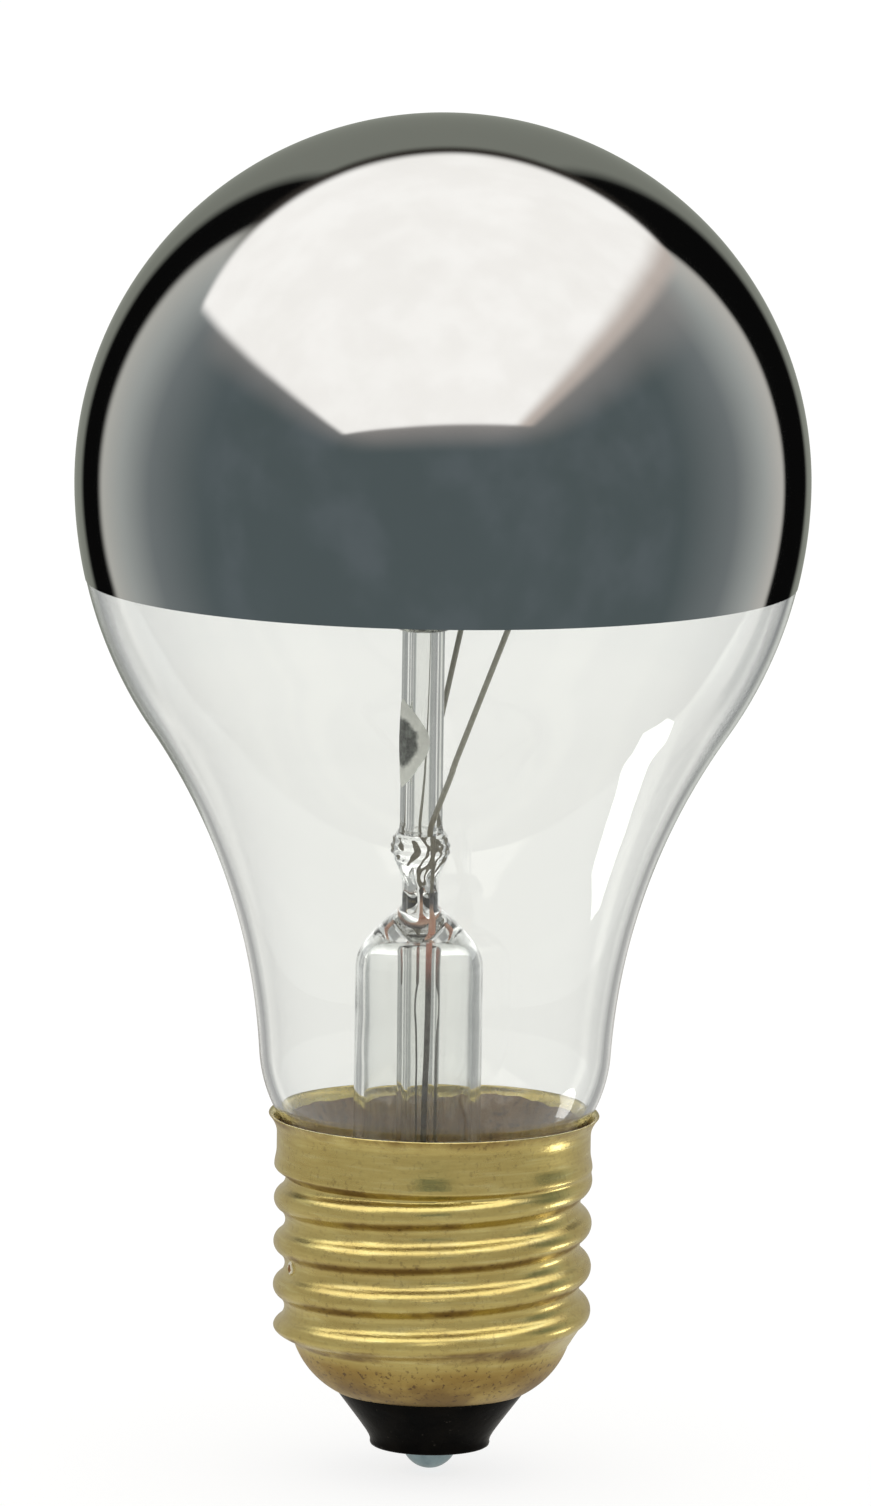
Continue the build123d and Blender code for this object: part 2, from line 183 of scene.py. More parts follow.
def round_compass(tree, angle, stops):
    """Tones by an angle in radians, from stops in degrees."""
    share = maths(tree, "ADD", maths(tree, "DIVIDE", angle, 2 * math.pi), 0.5)
    return ramp(tree, share, [(degrees / 360 + 0.5, tone) for degrees, tone in stops])


compass = maths(sky, "ARCTAN2", to_right, times(sky, to_back, -1.0))
walls = round_compass(sky, compass, wall_stops)
walls = mix_colours(sky, fall(sky, to_top, -0.75, -0.6), walls, ground_tone)
clutter = rise(sky, speckle(sky, direction, 2.4, 3.0, 0.5), 0.42, 0.7)
far_front = fall(sky, to_back, -0.35, 0.0)
walls = mix_colours(sky, times(sky, far_front, clutter), walls, clutter_tone)
print("studio walls:", len(wall_stops), "tones")

# %% [markdown]
# The soft box is a rectangle on the ceiling. A direction meets the ceiling at x / z and y / z, and two
# soft windows on those numbers draw the rectangle, with a faint spill round it. Its right end is dimmer
# and beige, and a dark edge runs along its back.

# %% Soft box
box_white, box_end, spill_tone = (0.985, 0.97, 0.945, 1), (0.52, 0.46, 0.42, 1), (0.3, 0.28, 0.27, 1)
edge_tone, cloth_tone = (0.03, 0.026, 0.022, 1), (1.05, 1.055, 1.06, 1)
box_turn, lowest_top = 0.12, 0.02


def window(across, low, high, soft):
    """1 between two limits, with soft edges."""
    after_low = rise(sky, across, low - soft, low + soft)
    return times(sky, after_low, fall(sky, across, high - soft, high + soft))


overhead = maths(sky, "MAXIMUM", to_top, lowest_top)
ceiling_x = maths(sky, "DIVIDE", to_right, overhead)
ceiling_y = maths(sky, "DIVIDE", to_back, overhead)
ceiling_y = maths(sky, "SUBTRACT", ceiling_y, times(sky, ceiling_x, box_turn))
in_front = maths(sky, "SUBTRACT", rise(sky, ceiling_y, -3.5, -1.7), rise(sky, ceiling_y, 0.2, 0.8))
spill = times(sky, window(ceiling_x, -1.6, 1.35, 0.7), in_front)
studio = mix_colours(sky, spill, walls, spill_tone)
back_edge = times(sky, window(ceiling_x, -0.85, 0.75, 0.35), window(ceiling_y, 0.84, 1.0, 0.08))
studio = mix_colours(sky, back_edge, studio, edge_tone)
box_share = times(sky, window(ceiling_x, -1.54, 1.16, 0.09), window(ceiling_y, -2.2, 0.86, 0.07))
box_tone = mix_colours(sky, rise(sky, ceiling_x, 0.86, 1.08), box_white, box_end)
cloth = rise(sky, speckle(sky, direction, 5.0, 4.0, 0.5), 0.35, 0.7)
box_tone = mix_colours(sky, cloth, box_tone, cloth_tone, "MULTIPLY")
studio = mix_colours(sky, box_share, studio, box_tone)
print("studio: one soft box")

# %% [markdown]
# The camera sees plain white behind the lamp, but a ray bent hard by a glass rod passes beside the
# backdrop and finds a dimmer room, so clear tubes show grey bands. Rays that leave glass get white only
# near straight behind. Matt pieces are lit by one even tone, and reflections get a stronger room, so that
# the soft box leaves white highlights on the brass.

# %% Backdrop
front_tone, corner_tone, side_tone = (0.44, 0.44, 0.43), (0.47, 0.47, 0.46), (0.5, 0.51, 0.51)
dark_tone, pale_tone, plain_tone = (0.38, 0.39, 0.4), (0.95, 0.95, 0.93), (1.0, 1.0, 1.0)
backdrop_stops = [
    (-180, front_tone), (-125, corner_tone), (-98, side_tone), (-58, dark_tone), (-52, pale_tone),
    (-46, pale_tone), (-42, dark_tone), (-23, dark_tone), (-18, plain_tone), (18, plain_tone),
    (23, dark_tone), (42, (0.34, 0.35, 0.36)), (60, (0.4, 0.41, 0.42)), (98, side_tone),
    (125, corner_tone), (180, front_tone),
]
ceiling_tone, even_light, white = (0.38, 0.39, 0.38, 1), (*pale_tone, 1), (*plain_tone, 1)
gloss_gain = 0.8

behind = round_compass(sky, maths(sky, "ARCTAN2", to_right, to_back), backdrop_stops)
behind = mix_colours(sky, rise(sky, to_top, 0.12, 0.6), behind, ceiling_tone)
behind = mix_colours(sky, box_share, behind, box_white)
ray = add_node(sky, "LightPath").outputs
seen = mix_colours(sky, ray["Is Transmission Ray"], studio, behind)
seen = mix_colours(sky, ray["Is Diffuse Ray"], seen, even_light)
seen = mix_colours(sky, ray["Is Camera Ray"], seen, white)
room = {"Color": seen, "Strength": scaled(sky, ray["Is Glossy Ray"], gloss_gain, 1.0)}
add_node(sky, "OutputWorld", {"Surface": add_node(sky, "Background", room).outputs[0]})
print("backdrop:", len(backdrop_stops), "tones")

# %% [markdown]
# ## Floor
# The floor is pale and keeps the lamp's shadow. To the camera part of it glows, so that it reads as white
# paper. Rays that leave the glass find the backdrop's tones on it, a little dimmer close to the lamp. It
# is left out of reflections, because the crown shows the studio only.

# %% Floor
def new_object(name, points, faces):
    """An object in the scene, with a mesh of these points and faces."""
    mesh = bpy.data.meshes.new(name)
    mesh.from_pydata(points, [], faces)
    made = bpy.data.objects.new(name, mesh)
    scene.collection.objects.link(made)
    return made


def new_material(name):
    """An empty material, its node tree and the coordinates of the piece that wears it."""
    material = bpy.data.materials.new(name)
    material.use_nodes = True
    tree = material.node_tree
    tree.nodes.clear()
    return material, tree, add_node(tree, "TexCoord").outputs["Object"]


floor_half, floor_drop, floor_glow = 4.0, 0.0002, 0.76
floor_tone, matt_share, near_dim = (0.8, 0.8, 0.79, 1), (0.3, 0.3, 0.3, 1), (0.93, 0.93, 0.925, 1)
corners = [(x * floor_half, y * floor_half, 0) for x, y in ((-1, -1), (1, -1), (1, 1), (-1, 1))]
floor = new_object("floor", corners, [(0, 1, 2, 3)])
floor.location.z = -floor_drop
floor.visible_glossy = False

paper, tree, place_in = new_material("paper floor")
ray = add_node(tree, "LightPath").outputs
floor_x, floor_y = split(tree, place_in)[:2]
beside = round_compass(tree, maths(tree, "ARCTAN2", floor_x, floor_y), backdrop_stops)
beside = mix_colours(tree, fall(tree, floor_y, 0.2, 0.55), beside, near_dim, "MULTIPLY")
seen_plain = maths(tree, "ADD", ray["Is Camera Ray"], ray["Is Transmission Ray"], clamp=True)
glow_tone = mix_colours(tree, ray["Is Transmission Ray"], white, beside)
matt_tone = mix_colours(tree, 1.0, glow_tone, matt_share, "MULTIPLY")
matt_tone = mix_colours(tree, seen_plain, floor_tone, matt_tone)
matt = add_node(tree, "BsdfDiffuse", {"Color": matt_tone}).outputs[0]
glow = {"Color": glow_tone, "Strength": times(tree, seen_plain, floor_glow)}
glow = add_node(tree, "Emission", glow).outputs[0]
both = add_node(tree, "AddShader", {0: matt, 1: glow}).outputs[0]
add_node(tree, "OutputMaterial", {"Surface": both})
floor.data.materials.append(paper)
print("floor laid")

# %% [markdown]
# Metal near the floor needs something pale to show. A white card lies under the lamp, a low screen stands
# round it, and nearer ones stand round the cap, with a hole for the lens that leaves small dark spots on
# the thread. A bright strip on each side gives the long highlights on the glass. All of these serve
# reflections only, and the paper ones fade out at their rims.

# %% Helpers for studio cards
def glowing(name, tone, strength, fade=None):
    """A plain light; fade is (measure, start, end) of a soft rim, by radius or height in metres."""
    material, tree, place_in = new_material(name)
    surface = add_node(tree, "Emission", {"Color": tone, "Strength": strength}).outputs[0]
    if fade:
        measure, start, end = fade
        along = split(tree, place_in)[2]
        if measure == "radius":
            along = add_node(tree, "VectorMath", {0: place_in}, operation="LENGTH").outputs["Value"]
        gone = add_node(tree, "BsdfTransparent").outputs[0]
        inputs = {0: rise(tree, along, start, end), 1: surface, 2: gone}
        surface = add_node(tree, "MixShader", inputs).outputs[0]
    add_node(tree, "OutputMaterial", {"Surface": surface})
    return material


def stage_card(name, points, faces, material):
    """A studio card that only reflections can see."""
    card = new_object(name, points, faces)
    card.data.materials.append(material)
    for kind in ("camera", "diffuse", "transmission", "volume_scatter", "shadow"):
        setattr(card, f"visible_{kind}", False)


def circle_point(radius, angle, z):
    """Point by its angle from the front, in degrees."""
    return (radius * math.sin(math.radians(angle)), -radius * math.cos(math.radians(angle)), z)


def stage_screen(name, radius, start, end, levels, material, holes=()):
    """A curved screen between two angles, as a grid of faces without those in the holes."""
    angles = range(start, end + 1, 5)
    points = [circle_point(radius, angle, z) for angle in angles for z in levels]
    tall = len(levels)
    faces = []
    for i in range(len(angles) - 1):
        for j in range(tall - 1):
            here, beyond = i * tall + j, (i + 1) * tall + j
            if (angles[i], levels[j]) not in holes:
                faces.append((here, here + 1, beyond + 1, beyond))
    stage_card(name, points, faces, material)


print("helpers for cards are ready")

# %% White card, low screens and two strips
card_r, card_fade, card_z = 0.112, 0.085, -0.0001
screen_r, screen_top, screen_fade = 0.092, 0.03, 0.012
near_r, near_top, near_fade = 0.045, 0.046, 0.034
front_top, front_fade, hole_low, hole_top = 0.062, 0.044, 0.0235, 0.036
strip_z, strip_tone = 0.0003, (1.0, 1.0, 0.97, 1)
paper_white = (1.0, 0.97, 0.9, 1)

disc = [circle_point(card_r, angle, card_z) for angle in range(0, 360, 6)]
card_paper = glowing("white card", paper_white, 0.62, ("radius", card_fade, card_r))
stage_card("white_card", disc, [tuple(range(len(disc)))], card_paper)
side_paper = glowing("side screen", paper_white, 0.6, ("height", screen_fade, screen_top))
stage_screen("side_screen", screen_r, 0, 360, [0.0, screen_top], side_paper)
lens_hole = [(angle, hole_low) for angle in (-10, -5, 0, 5)]
front_paper = glowing("front screen", paper_white, 0.5, ("height", front_fade, front_top))
stage_screen("front_screen", near_r, -40, 40, [0.0, hole_low, hole_top, front_top], front_paper, lens_hole)
near_paper = glowing("near screen", paper_white, 0.5, ("height", near_fade, near_top))
for start, end in ((-165, -40), (40, 70), (105, 165)):
    stage_screen("near_screen", near_r, start, end, [0.0, near_top], near_paper)

strip_outline = [(50, 4), (66, 4), (76, 0), (89, 12), (89, 21), (79, 25), (50, 19)]
for side, strength in ((1, 5.0), (-1, 1.2)):
    strip = [(side * x / 1000, y / 1000, strip_z) for x, y in strip_outline]
    stage_card("strip", strip, [tuple(range(len(strip)))], glowing("strip", strip_tone, strength))
print("card radius", card_r, "m, screen height", screen_top, "m")

# %% [markdown]
# Light crosses many glass faces on its way through a lamp with a stem inside it, so the renderer may
# follow a ray through more of them than usual.

# %% Ray depth for glass
glass_faces, mirror_faces = 22, 8
scene.cycles.max_bounces = glass_faces
scene.cycles.transmission_bounces = glass_faces
scene.cycles.transparent_max_bounces = glass_faces
scene.cycles.glossy_bounces = mirror_faces
print("glass faces followed:", glass_faces)

# %% [markdown]
# ## Skins over rings
# Almost everything on a lamp is round, so one helper makes the meshes. It stretches a skin over rows of
# points, where a row is a ring, or a single point where a shape closes. Dimensions are in millimetres, as
# on a drawing, and become metres in the mesh.

# %% Helpers for meshes
MM = 0.001


def skin(name, rows, joined=False, sharp_angle=40):
    """A smooth mesh over rows of points; joined closes the last row onto the first."""
    points, starts = [], []
    for row in rows:
        starts.append(len(points))
        points += [Vector(point) * MM for point in row]
    around = max(len(row) for row in rows)
    pairs = [(row, row + 1) for row in range(len(rows) - 1)] + ([(len(rows) - 1, 0)] if joined else [])
    faces = []
    for low, high in pairs:
        for step in range(around):
            corners = [starts[low] + step % len(rows[low]), starts[low] + (step + 1) % len(rows[low])]
            corners += [starts[high] + (step + 1) % len(rows[high]), starts[high] + step % len(rows[high])]
            faces.append(list(dict.fromkeys(corners)))
    piece = new_object(name, points, faces)
    shape = bmesh.new()
    shape.from_mesh(piece.data)
    bmesh.ops.recalc_face_normals(shape, faces=shape.faces)
    shape.to_mesh(piece.data)
    shape.free()
    piece.data.shade_smooth()
    piece.data.set_sharp_from_angle(angle=math.radians(sharp_angle))
    return piece


def polar(radius, angle, z):
    """Point at a radius, an angle about the axis in degrees and a height."""
    return (radius * math.cos(math.radians(angle)), radius * math.sin(math.radians(angle)), z)


def ring(radius, z, around):
    if radius == 0:
        return [(0, 0, z)]
    return [polar(radius, 360 * step / around, z) for step in range(around)]


def turned(name, outline, around=128, joined=False, sharp_angle=40):
    """A piece turned about the axis from an outline of (radius, height) points."""
    return skin(name, [ring(radius, z, around) for radius, z in outline], joined, sharp_angle)


def place(piece, material, node, shift=0.0):
    """Give a piece its finish, let it stand for its CAD node and fix it to the lamp."""
    piece.data.transform(Matrix.Translation((shift * MM, 0, 0)))
    piece.data.materials.append(material)
    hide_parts(node)
    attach(piece, "root")
    print(piece.name, "has", len(piece.data.polygons), "faces")


print("mesh helpers are ready")

# %% [markdown]
# ## Blown envelope
# The bulb is one blown piece of thin glass: a globe, a fuller shoulder, a hollow throat, a tuck towards
# the rim of the cap and a straight neck inside it. Each arc of the outline starts in the direction in
# which the one before it ends. Glass needs two faces, outside and inside, or the light bends as if the
# bulb were solid.

# %% Outline of the envelope
globe_r, shoulder_r, throat_r = 30.0, 36.0, 53.0
waist_r, tuck_radius, tuck_slope = 14.35, 12.0, math.radians(3.5)
rim_z, rim_glass_r, neck_r, neck_z = 29.65, 12.88, 11.25, 14.05
glass_wall = 0.6

tuck_r = waist_r + throat_r * (1 - math.cos(tuck_slope))
rim_slope = math.acos(math.cos(tuck_slope) - (tuck_r - rim_glass_r) / tuck_radius)
neck_radius = (rim_glass_r - neck_r) / (1 - math.cos(rim_slope))
turn_slope = math.acos((waist_r + throat_r + shoulder_r - globe_r) / (shoulder_r + throat_r))
tuck_centre = (rim_glass_r - tuck_radius * math.cos(rim_slope), rim_z + tuck_radius * math.sin(rim_slope))
throat_z = tuck_centre[1] - (tuck_radius + throat_r) * math.sin(tuck_slope)
throat_centre = (waist_r + throat_r, throat_z)
globe_z = throat_z + (throat_r + shoulder_r) * math.sin(turn_slope)
shoulder_centre = (globe_r - shoulder_r, globe_z)
neck_centre = (neck_r + neck_radius, rim_z - neck_radius * math.sin(rim_slope))


def arc(centre, radius, first, last, count):
    """Points on an arc from one slope up to the next; a negative radius gives a hollow arc."""
    slopes = [first + (last - first) * step / count for step in range(count)]
    return [(centre[0] + radius * math.cos(slope), centre[1] - radius * math.sin(slope)) for slope in slopes]


def globe_arc(offset):
    """Outline of the globe from its top to its equator, moved out by offset."""
    quarter = arc((0, globe_z), globe_r + offset, -math.pi / 2, 0, 60)
    return [(0, globe_z + globe_r + offset)] + quarter[1:]


def envelope_outline(inset):
    """Outline of the glass from the crown down to the neck, moved in by inset."""
    points = globe_arc(-inset)
    points += arc(shoulder_centre, shoulder_r - inset, 0, turn_slope, 30)
    points += arc(throat_centre, -throat_r - inset, turn_slope, tuck_slope, 34)
    points += arc(tuck_centre, tuck_radius - inset, tuck_slope, rim_slope, 14)
    points += arc(neck_centre, -neck_radius - inset, rim_slope, 0, 12)
    return points + [(neck_r - inset, neck_centre[1]), (neck_r - inset, neck_z)]


print("globe centre at", round(globe_z, 2), "mm")

# %% [markdown]
# Clear glass is a principled shader that lets all light through. A broad faint bump bends its reflections
# a little, and a fine mottle roughens it where it has been handled. Shadow and bounced rays pass straight
# through, so the pieces inside are lit without grain. Layer Weight puts the grey of the dark room in the
# outline.

# %% Clear glass finish
def bumped(tree, height, strength, distance):
    inputs = {"Height": height, "Strength": strength, "Distance": distance}
    return add_node(tree, "Bump", inputs).outputs[0]


def glass_finish(name, edge_stops, wave_scale, wave_strength, smear):
    """Clear glass with a faint wave, smears and a grey edge."""
    material, tree, place_in = new_material(name)
    wave = speckle(tree, place_in, wave_scale, 1.0, 0.5)
    handled = rise(tree, speckle(tree, place_in, 260.0, 5.0, 0.5), 0.5, 0.8)
    facing = add_node(tree, "LayerWeight", {"Blend": 0.5}).outputs["Facing"]
    inputs = {
        "Base Color": ramp(tree, facing, edge_stops),
        "Roughness": times(tree, handled, smear),
        "IOR": 1.5,
        "Transmission Weight": 1.0,
        "Normal": bumped(tree, wave, wave_strength, 0.001),
    }
    glass = add_node(tree, "BsdfPrincipled", inputs).outputs[0]
    straight = add_node(tree, "BsdfTransparent", {"Color": (0.96, 0.97, 0.96, 1)}).outputs[0]
    ray = add_node(tree, "LightPath").outputs
    unbent = maths(tree, "MAXIMUM", ray["Is Shadow Ray"], ray["Is Diffuse Ray"])
    mixed = add_node(tree, "MixShader", {0: unbent, 1: glass, 2: straight}).outputs[0]
    add_node(tree, "OutputMaterial", {"Surface": mixed})
    return material


clear_stops = [(0.0, (0.945, 0.95, 0.93)), (0.75, (0.94, 0.945, 0.93)), (0.94, (0.7, 0.72, 0.72))]
clear_glass = glass_finish("clear glass", clear_stops, 45.0, 0.05, 0.015)
print("clear glass finish is ready")

# %% Envelope piece
globe_around = 176
outline = envelope_outline(0) + envelope_outline(glass_wall)[::-1]
envelope = turned("glass_envelope", outline, globe_around)
place(envelope, clear_glass, "glass_bulb")

# %% [markdown]
# ## Mirrored crown
# The upper half of the globe carries a thin metal film that ends in a clean line a little below the
# equator. Its skin has the same arcs as the glass, just off its outside. The film is bright on the glass,
# but its protected back, the side one sees, returns only about half of the light, with a slight haze.

# %% Mirror film finish
def new_finish(name):
    """A new material with a principled shader, to be filled by the caller."""
    material, tree, place_in = new_material(name)
    shader = add_node(tree, "BsdfPrincipled")
    add_node(tree, "OutputMaterial", {"Surface": shader.outputs[0]})
    return material, tree, shader, place_in


def fill(shader, **inputs):
    """Set the shader's inputs, where an underscore in a name stands for a space."""
    set_inputs(shader, {name.replace("_", " "): value for name, value in inputs.items()})


mirror_film, tree, shader, place_in = new_finish("mirror film")
haze = speckle(tree, place_in, 90.0, 6.0)
swim = speckle(tree, place_in, 55.0, 2.0)
off_centre = {0: place_in, 1: (0, 0, globe_z * MM)}
off_centre = add_node(tree, "VectorMath", off_centre, operation="SUBTRACT").outputs[0]
outward = {0: add_node(tree, "NewGeometry").outputs["Normal"], 1: off_centre}
outward = add_node(tree, "VectorMath", outward, operation="DOT_PRODUCT").outputs["Value"]
on_glass = maths(tree, "LESS_THAN", outward, 0.0)
film_tone = ramp(tree, haze, [(0.3, (0.478, 0.475, 0.467)), (0.7, (0.5, 0.497, 0.492))])
fill(
    shader,
    Metallic=1.0,
    Base_Color=mix_colours(tree, on_glass, film_tone, (0.9, 0.895, 0.88, 1)),
    Specular_Tint=(0.8, 0.8, 0.79, 1),
    Roughness=scaled(tree, haze, 0.05, 0.025),
    Normal=bumped(tree, swim, 0.05, 0.001),
)
print("mirror film finish is ready")

# %% Mirrored crown piece
mirror_drop, film, film_gap = 8.2, 0.06, 0.015
mirror_slope = math.asin(mirror_drop / shoulder_r)


def film_outline(offset):
    """Outline of the film; its arc runs one step past the line of the silver, as arcs leave out their end."""
    return globe_arc(offset) + arc(shoulder_centre, shoulder_r + offset, 0, mirror_slope * 13 / 12, 13)


outline = film_outline(film) + film_outline(film_gap)[::-1]
crown = turned("mirrored_crown", outline, globe_around, sharp_angle=60)
place(crown, mirror_film, "mirror_coating")

# %% [markdown]
# ## Rolled screw shell
# The cap's shell is thin brass sheet, rolled between two dies, so its thread is a wave of the sheet
# itself, outside and inside. The radius is a function of angle and height. One turn lifts the wave by one
# pitch, which makes a right-hand thread, and two soft steps fade it into the collar above and the bowl
# below.

# %% Form of the rolled thread
edge_z, thread_z, collar_z, lip_z = 6.75, 10.4, 25.4, 28.05
crest_r, root_r, collar_r, bowl_top_r, edge_r = 13.1, 12.15, 12.92, 11.25, 8.05
pitch, sheet, lip_flare = 3.63, 0.3, 0.68
thread_lift, thread_fade, collar_fade = 1.26, 1.7, 1.3
bowl_radius = 7.0
half_chord = math.hypot(bowl_top_r - edge_r, thread_z - edge_z) / 2
chord_lift = math.sqrt(bowl_radius**2 - half_chord**2) / (2 * half_chord)
bowl_centre_r = (bowl_top_r + edge_r) / 2 - (thread_z - edge_z) * chord_lift
bowl_centre_z = (thread_z + edge_z) / 2 + (bowl_top_r - edge_r) * chord_lift


def ease(share):
    """A soft step from 0 to 1."""
    share = min(max(share, 0), 1)
    return share * share * (3 - 2 * share)


def ridge_share(turns):
    """The rolled wave, 1 at a crest and 0 at a root, from two equal tangent arcs."""
    depth = crest_r - root_r
    wave_r = ((pitch / 4) ** 2 + (depth / 2) ** 2) / depth
    off_crest = abs(turns - math.floor(turns + 0.5)) * pitch
    off_root = pitch / 2 - off_crest
    if off_crest < off_root:
        return 1 - (wave_r - math.sqrt(wave_r**2 - off_crest**2)) / depth
    return (wave_r - math.sqrt(wave_r**2 - off_root**2)) / depth


def shell_radius(angle, z, inset):
    """Radius of the sheet at an angle and a height, moved in by inset."""
    if z < thread_z:
        return bowl_centre_r + math.sqrt((bowl_radius - inset) ** 2 - (z - bowl_centre_z) ** 2)
    outer = crest_r + (collar_r - crest_r) * ease((z - collar_z) / collar_fade)
    outer += lip_flare * max(0, (z - lip_z) / (rim_z - lip_z)) ** 2
    turns = (z - thread_z - thread_lift) / pitch - angle / 360 + 0.5
    ridge = 1 - (1 - ease(z - collar_z + 1)) * (1 - ridge_share(turns))
    risen = ease((z - thread_z) / thread_fade)
    foot = bowl_top_r + (root_r - bowl_top_r) * risen
    return foot + (outer - foot) * ridge * risen - inset


print("thread: pitch", pitch, "mm over", round(collar_z - thread_z, 1), "mm")

# %% Screw shell piece
shell_around = 180
lip_top, lip_insets = rim_z + 0.06, (0.08, 0.22)


def shell_row(z, inset):
    angles = [360 * step / shell_around for step in range(shell_around)]
    return [polar(shell_radius(angle, z, inset), angle, z) for angle in angles]


def heights(low, high, count):
    """Even steps from low to high, with both ends."""
    return [low + (high - low) * step / count for step in range(count + 1)]


bowl_start = math.asin((bowl_centre_z - edge_z) / bowl_radius)
bowl_end = math.asin((bowl_centre_z - thread_z) / bowl_radius)
bowl_slopes = heights(bowl_start, bowl_end, 16)[:-1]
outer_heights = [bowl_centre_z - bowl_radius * math.sin(slope) for slope in bowl_slopes]
outer_heights += heights(thread_z, collar_z, 114) + heights(collar_z, rim_z, 20)[1:]
bowl_inside = [bowl_centre_z - (bowl_radius - sheet) * math.sin(slope) for slope in bowl_slopes]
inner_heights = heights(collar_z, rim_z, 10)[::-1] + heights(thread_z, collar_z, 57)[-2::-1]
inner_heights += bowl_inside[::-2]
shell_rows = [shell_row(z, 0) for z in outer_heights] + [shell_row(lip_top, inset) for inset in lip_insets]
shell_rows += [shell_row(z, sheet) for z in inner_heights] + [ring(edge_r - 0.1, edge_z, shell_around)]
shell = skin("screw_shell_brass", shell_rows, joined=True)
print("shell rows:", len(outer_heights), "outside,", len(inner_heights) + 1, "inside")

# %% [markdown]
# Brass on a lamp cap is bright where the dies pressed it and brown in clouds of tarnish. The undersides of
# the thread's crests, which face down, are darkened with painted shade mixed with that tarnish, the bowl is
# darker and browner, and dark specks lie thickest where the brass is darkest. The roll leaves fine marks
# that run round the shell, so one noise is stretched along the compass angle. The finish mixes its tones by
# those masks.

# %% Brass finish
def round_coordinates(tree, place_in, along, up):
    """Coordinates that run round the axis and up it, to stretch a pattern along the rolling direction."""
    x, y, z = split(tree, place_in)
    inputs = {0: times(tree, maths(tree, "ARCTAN2", y, x), along), 1: times(tree, z, up)}
    return add_node(tree, "CombineXYZ", inputs).outputs[0]


shell_brass, tree, shader, place_in = new_finish("shell brass")
rolling = speckle(tree, round_coordinates(tree, place_in, 3.0, 2600.0), 1.0, 4.0)
clouds = speckle(tree, place_in, 210.0, 6.0, 0.6)
specks = speckle(tree, place_in, 2200.0, 3.0, 0.7)
facing_up = split(tree, add_node(tree, "NewGeometry").outputs["Normal"])[2]
# Painted shade: where the normal faces down, on the undersides of the crests, the brass gets a darker,
# browner tone.
under_crest = fall(tree, facing_up, -0.75, -0.35)
# The bowl, low on the shell, is darker and browner.
low_down = fall(tree, split(tree, place_in)[2], 0.0096, 0.0114)
stained = rise(tree, clouds, 0.3, 0.7)
aged_and_shaded_thread = times(tree, stained, scaled(tree, under_crest, 0.7, 0.3))
darker_bowl = times(tree, low_down, scaled(tree, stained, 0.35, 0.65))
aged_and_shaded = maths(tree, "MAXIMUM", aged_and_shaded_thread, darker_bowl)
# Painted shade under the crests, broken up by tarnish clouds, takes the darkest brown.
tarnish_and_shade = times(tree, times(tree, under_crest, rise(tree, clouds, 0.4, 0.62)), 0.65)
dark_specks = rise(tree, specks, 0.54, 0.68)
dark_specks = maths(tree, "MULTIPLY", dark_specks, scaled(tree, aged_and_shaded, 1.1, 0.1), clamp=True)
brass_stops = [(0.3, (0.62, 0.5, 0.18)), (0.55, (0.69, 0.575, 0.22)), (0.75, (0.78, 0.69, 0.32))]
brass_tone = ramp(tree, rolling, brass_stops)
brass_tone = mix_colours(tree, aged_and_shaded, brass_tone, (0.4, 0.26, 0.075, 1))
brass_tone = mix_colours(tree, tarnish_and_shade, brass_tone, (0.2, 0.13, 0.06, 1))
brass_tone = mix_colours(tree, dark_specks, brass_tone, (0.17, 0.11, 0.055, 1))
fill(
    shader,
    Metallic=1.0,
    Base_Color=brass_tone,
    Roughness=maths(tree, "ADD", times(tree, aged_and_shaded, 0.25), scaled(tree, rolling, 0.1, 0.17)),
    Normal=bumped(tree, maths(tree, "ADD", rolling, times(tree, specks, 0.8)), 0.1, 0.0002),
)
place(shell, shell_brass, "screw_shell")

# %% [markdown]
# ## Capping cement
# A ring of baked cement holds the glass neck in the shell. Through the clear glass it shows as a mauve-
# brown band below the rim. Its inner face follows the glass, and its top edge is lifted and dropped by
# noise, where it was squeezed out.

# %% Cement piece and finish
cement_around, cement_gap, cement_rag = 120, 0.02, 0.35
cement_low, cement_top, cement_r, cement_root_r = 19.05, 28.9, 12.59, 11.82
cement_wide_z, cement_narrow_z = 25.7, 24.7


def glass_radius(z):
    """Outside radius of the glass at a height below the rim."""
    if z < neck_centre[1]:
        return neck_r
    return neck_centre[0] - math.sqrt(neck_radius**2 - (z - neck_centre[1]) ** 2)


def cement_row(height, radius=None, ragged=0.0):
    """Ring at a radius, or against the glass; ragged lifts and drops it."""
    row = []
    for step in range(cement_around):
        angle = 360 * step / cement_around
        wobble = noise.noise(Vector(polar(3.0, angle, 7.0)))
        wobble += 0.5 * noise.noise(Vector(polar(9.0, angle, 3.0)))
        z = height + ragged * wobble
        row.append(polar(radius or glass_radius(z) + cement_gap, angle, z))
    return row


cement_rows = [cement_row(z) for z in heights(cement_low, cement_top - 0.8, 16)]
cement_rows += [cement_row(cement_top, radius, cement_rag) for radius in (None, cement_r)]
cement_rows += [cement_row(cement_wide_z, cement_r), cement_row(cement_narrow_z, cement_root_r)]
cement_rows += [cement_row(cement_low, cement_root_r)]
cement = skin("cement_ring", cement_rows, joined=True)

baked_cement, tree, shader, place_in = new_finish("baked cement")
grain = speckle(tree, place_in, 1400.0, 5.0, 0.65)
stain = speckle(tree, round_coordinates(tree, place_in, 9.0, 60.0), 1.0, 3.0)
cement_stops = [(0.3, (0.23, 0.135, 0.065)), (0.5, (0.3, 0.18, 0.095)), (0.72, (0.355, 0.22, 0.13))]
cement_tone = ramp(tree, stain, cement_stops)
cement_tone = mix_colours(tree, rise(tree, grain, 0.45, 0.75), cement_tone, (0.15, 0.1, 0.075, 1))
fill(shader, Base_Color=cement_tone, Roughness=0.85, Normal=bumped(tree, grain, 0.5, 0.0003))
place(cement, baked_cement, "capping_cement")

# %% [markdown]
# ## Insulator, eyelet and solder
# Below the shell, black glass is cast round a small brass eyelet, and a drop of solder on the eyelet
# makes the centre contact. The black glass has a cone, a short nose with a slight lip and soft edges from
# the mould. The solder drop is a flat dome that isn't quite round.

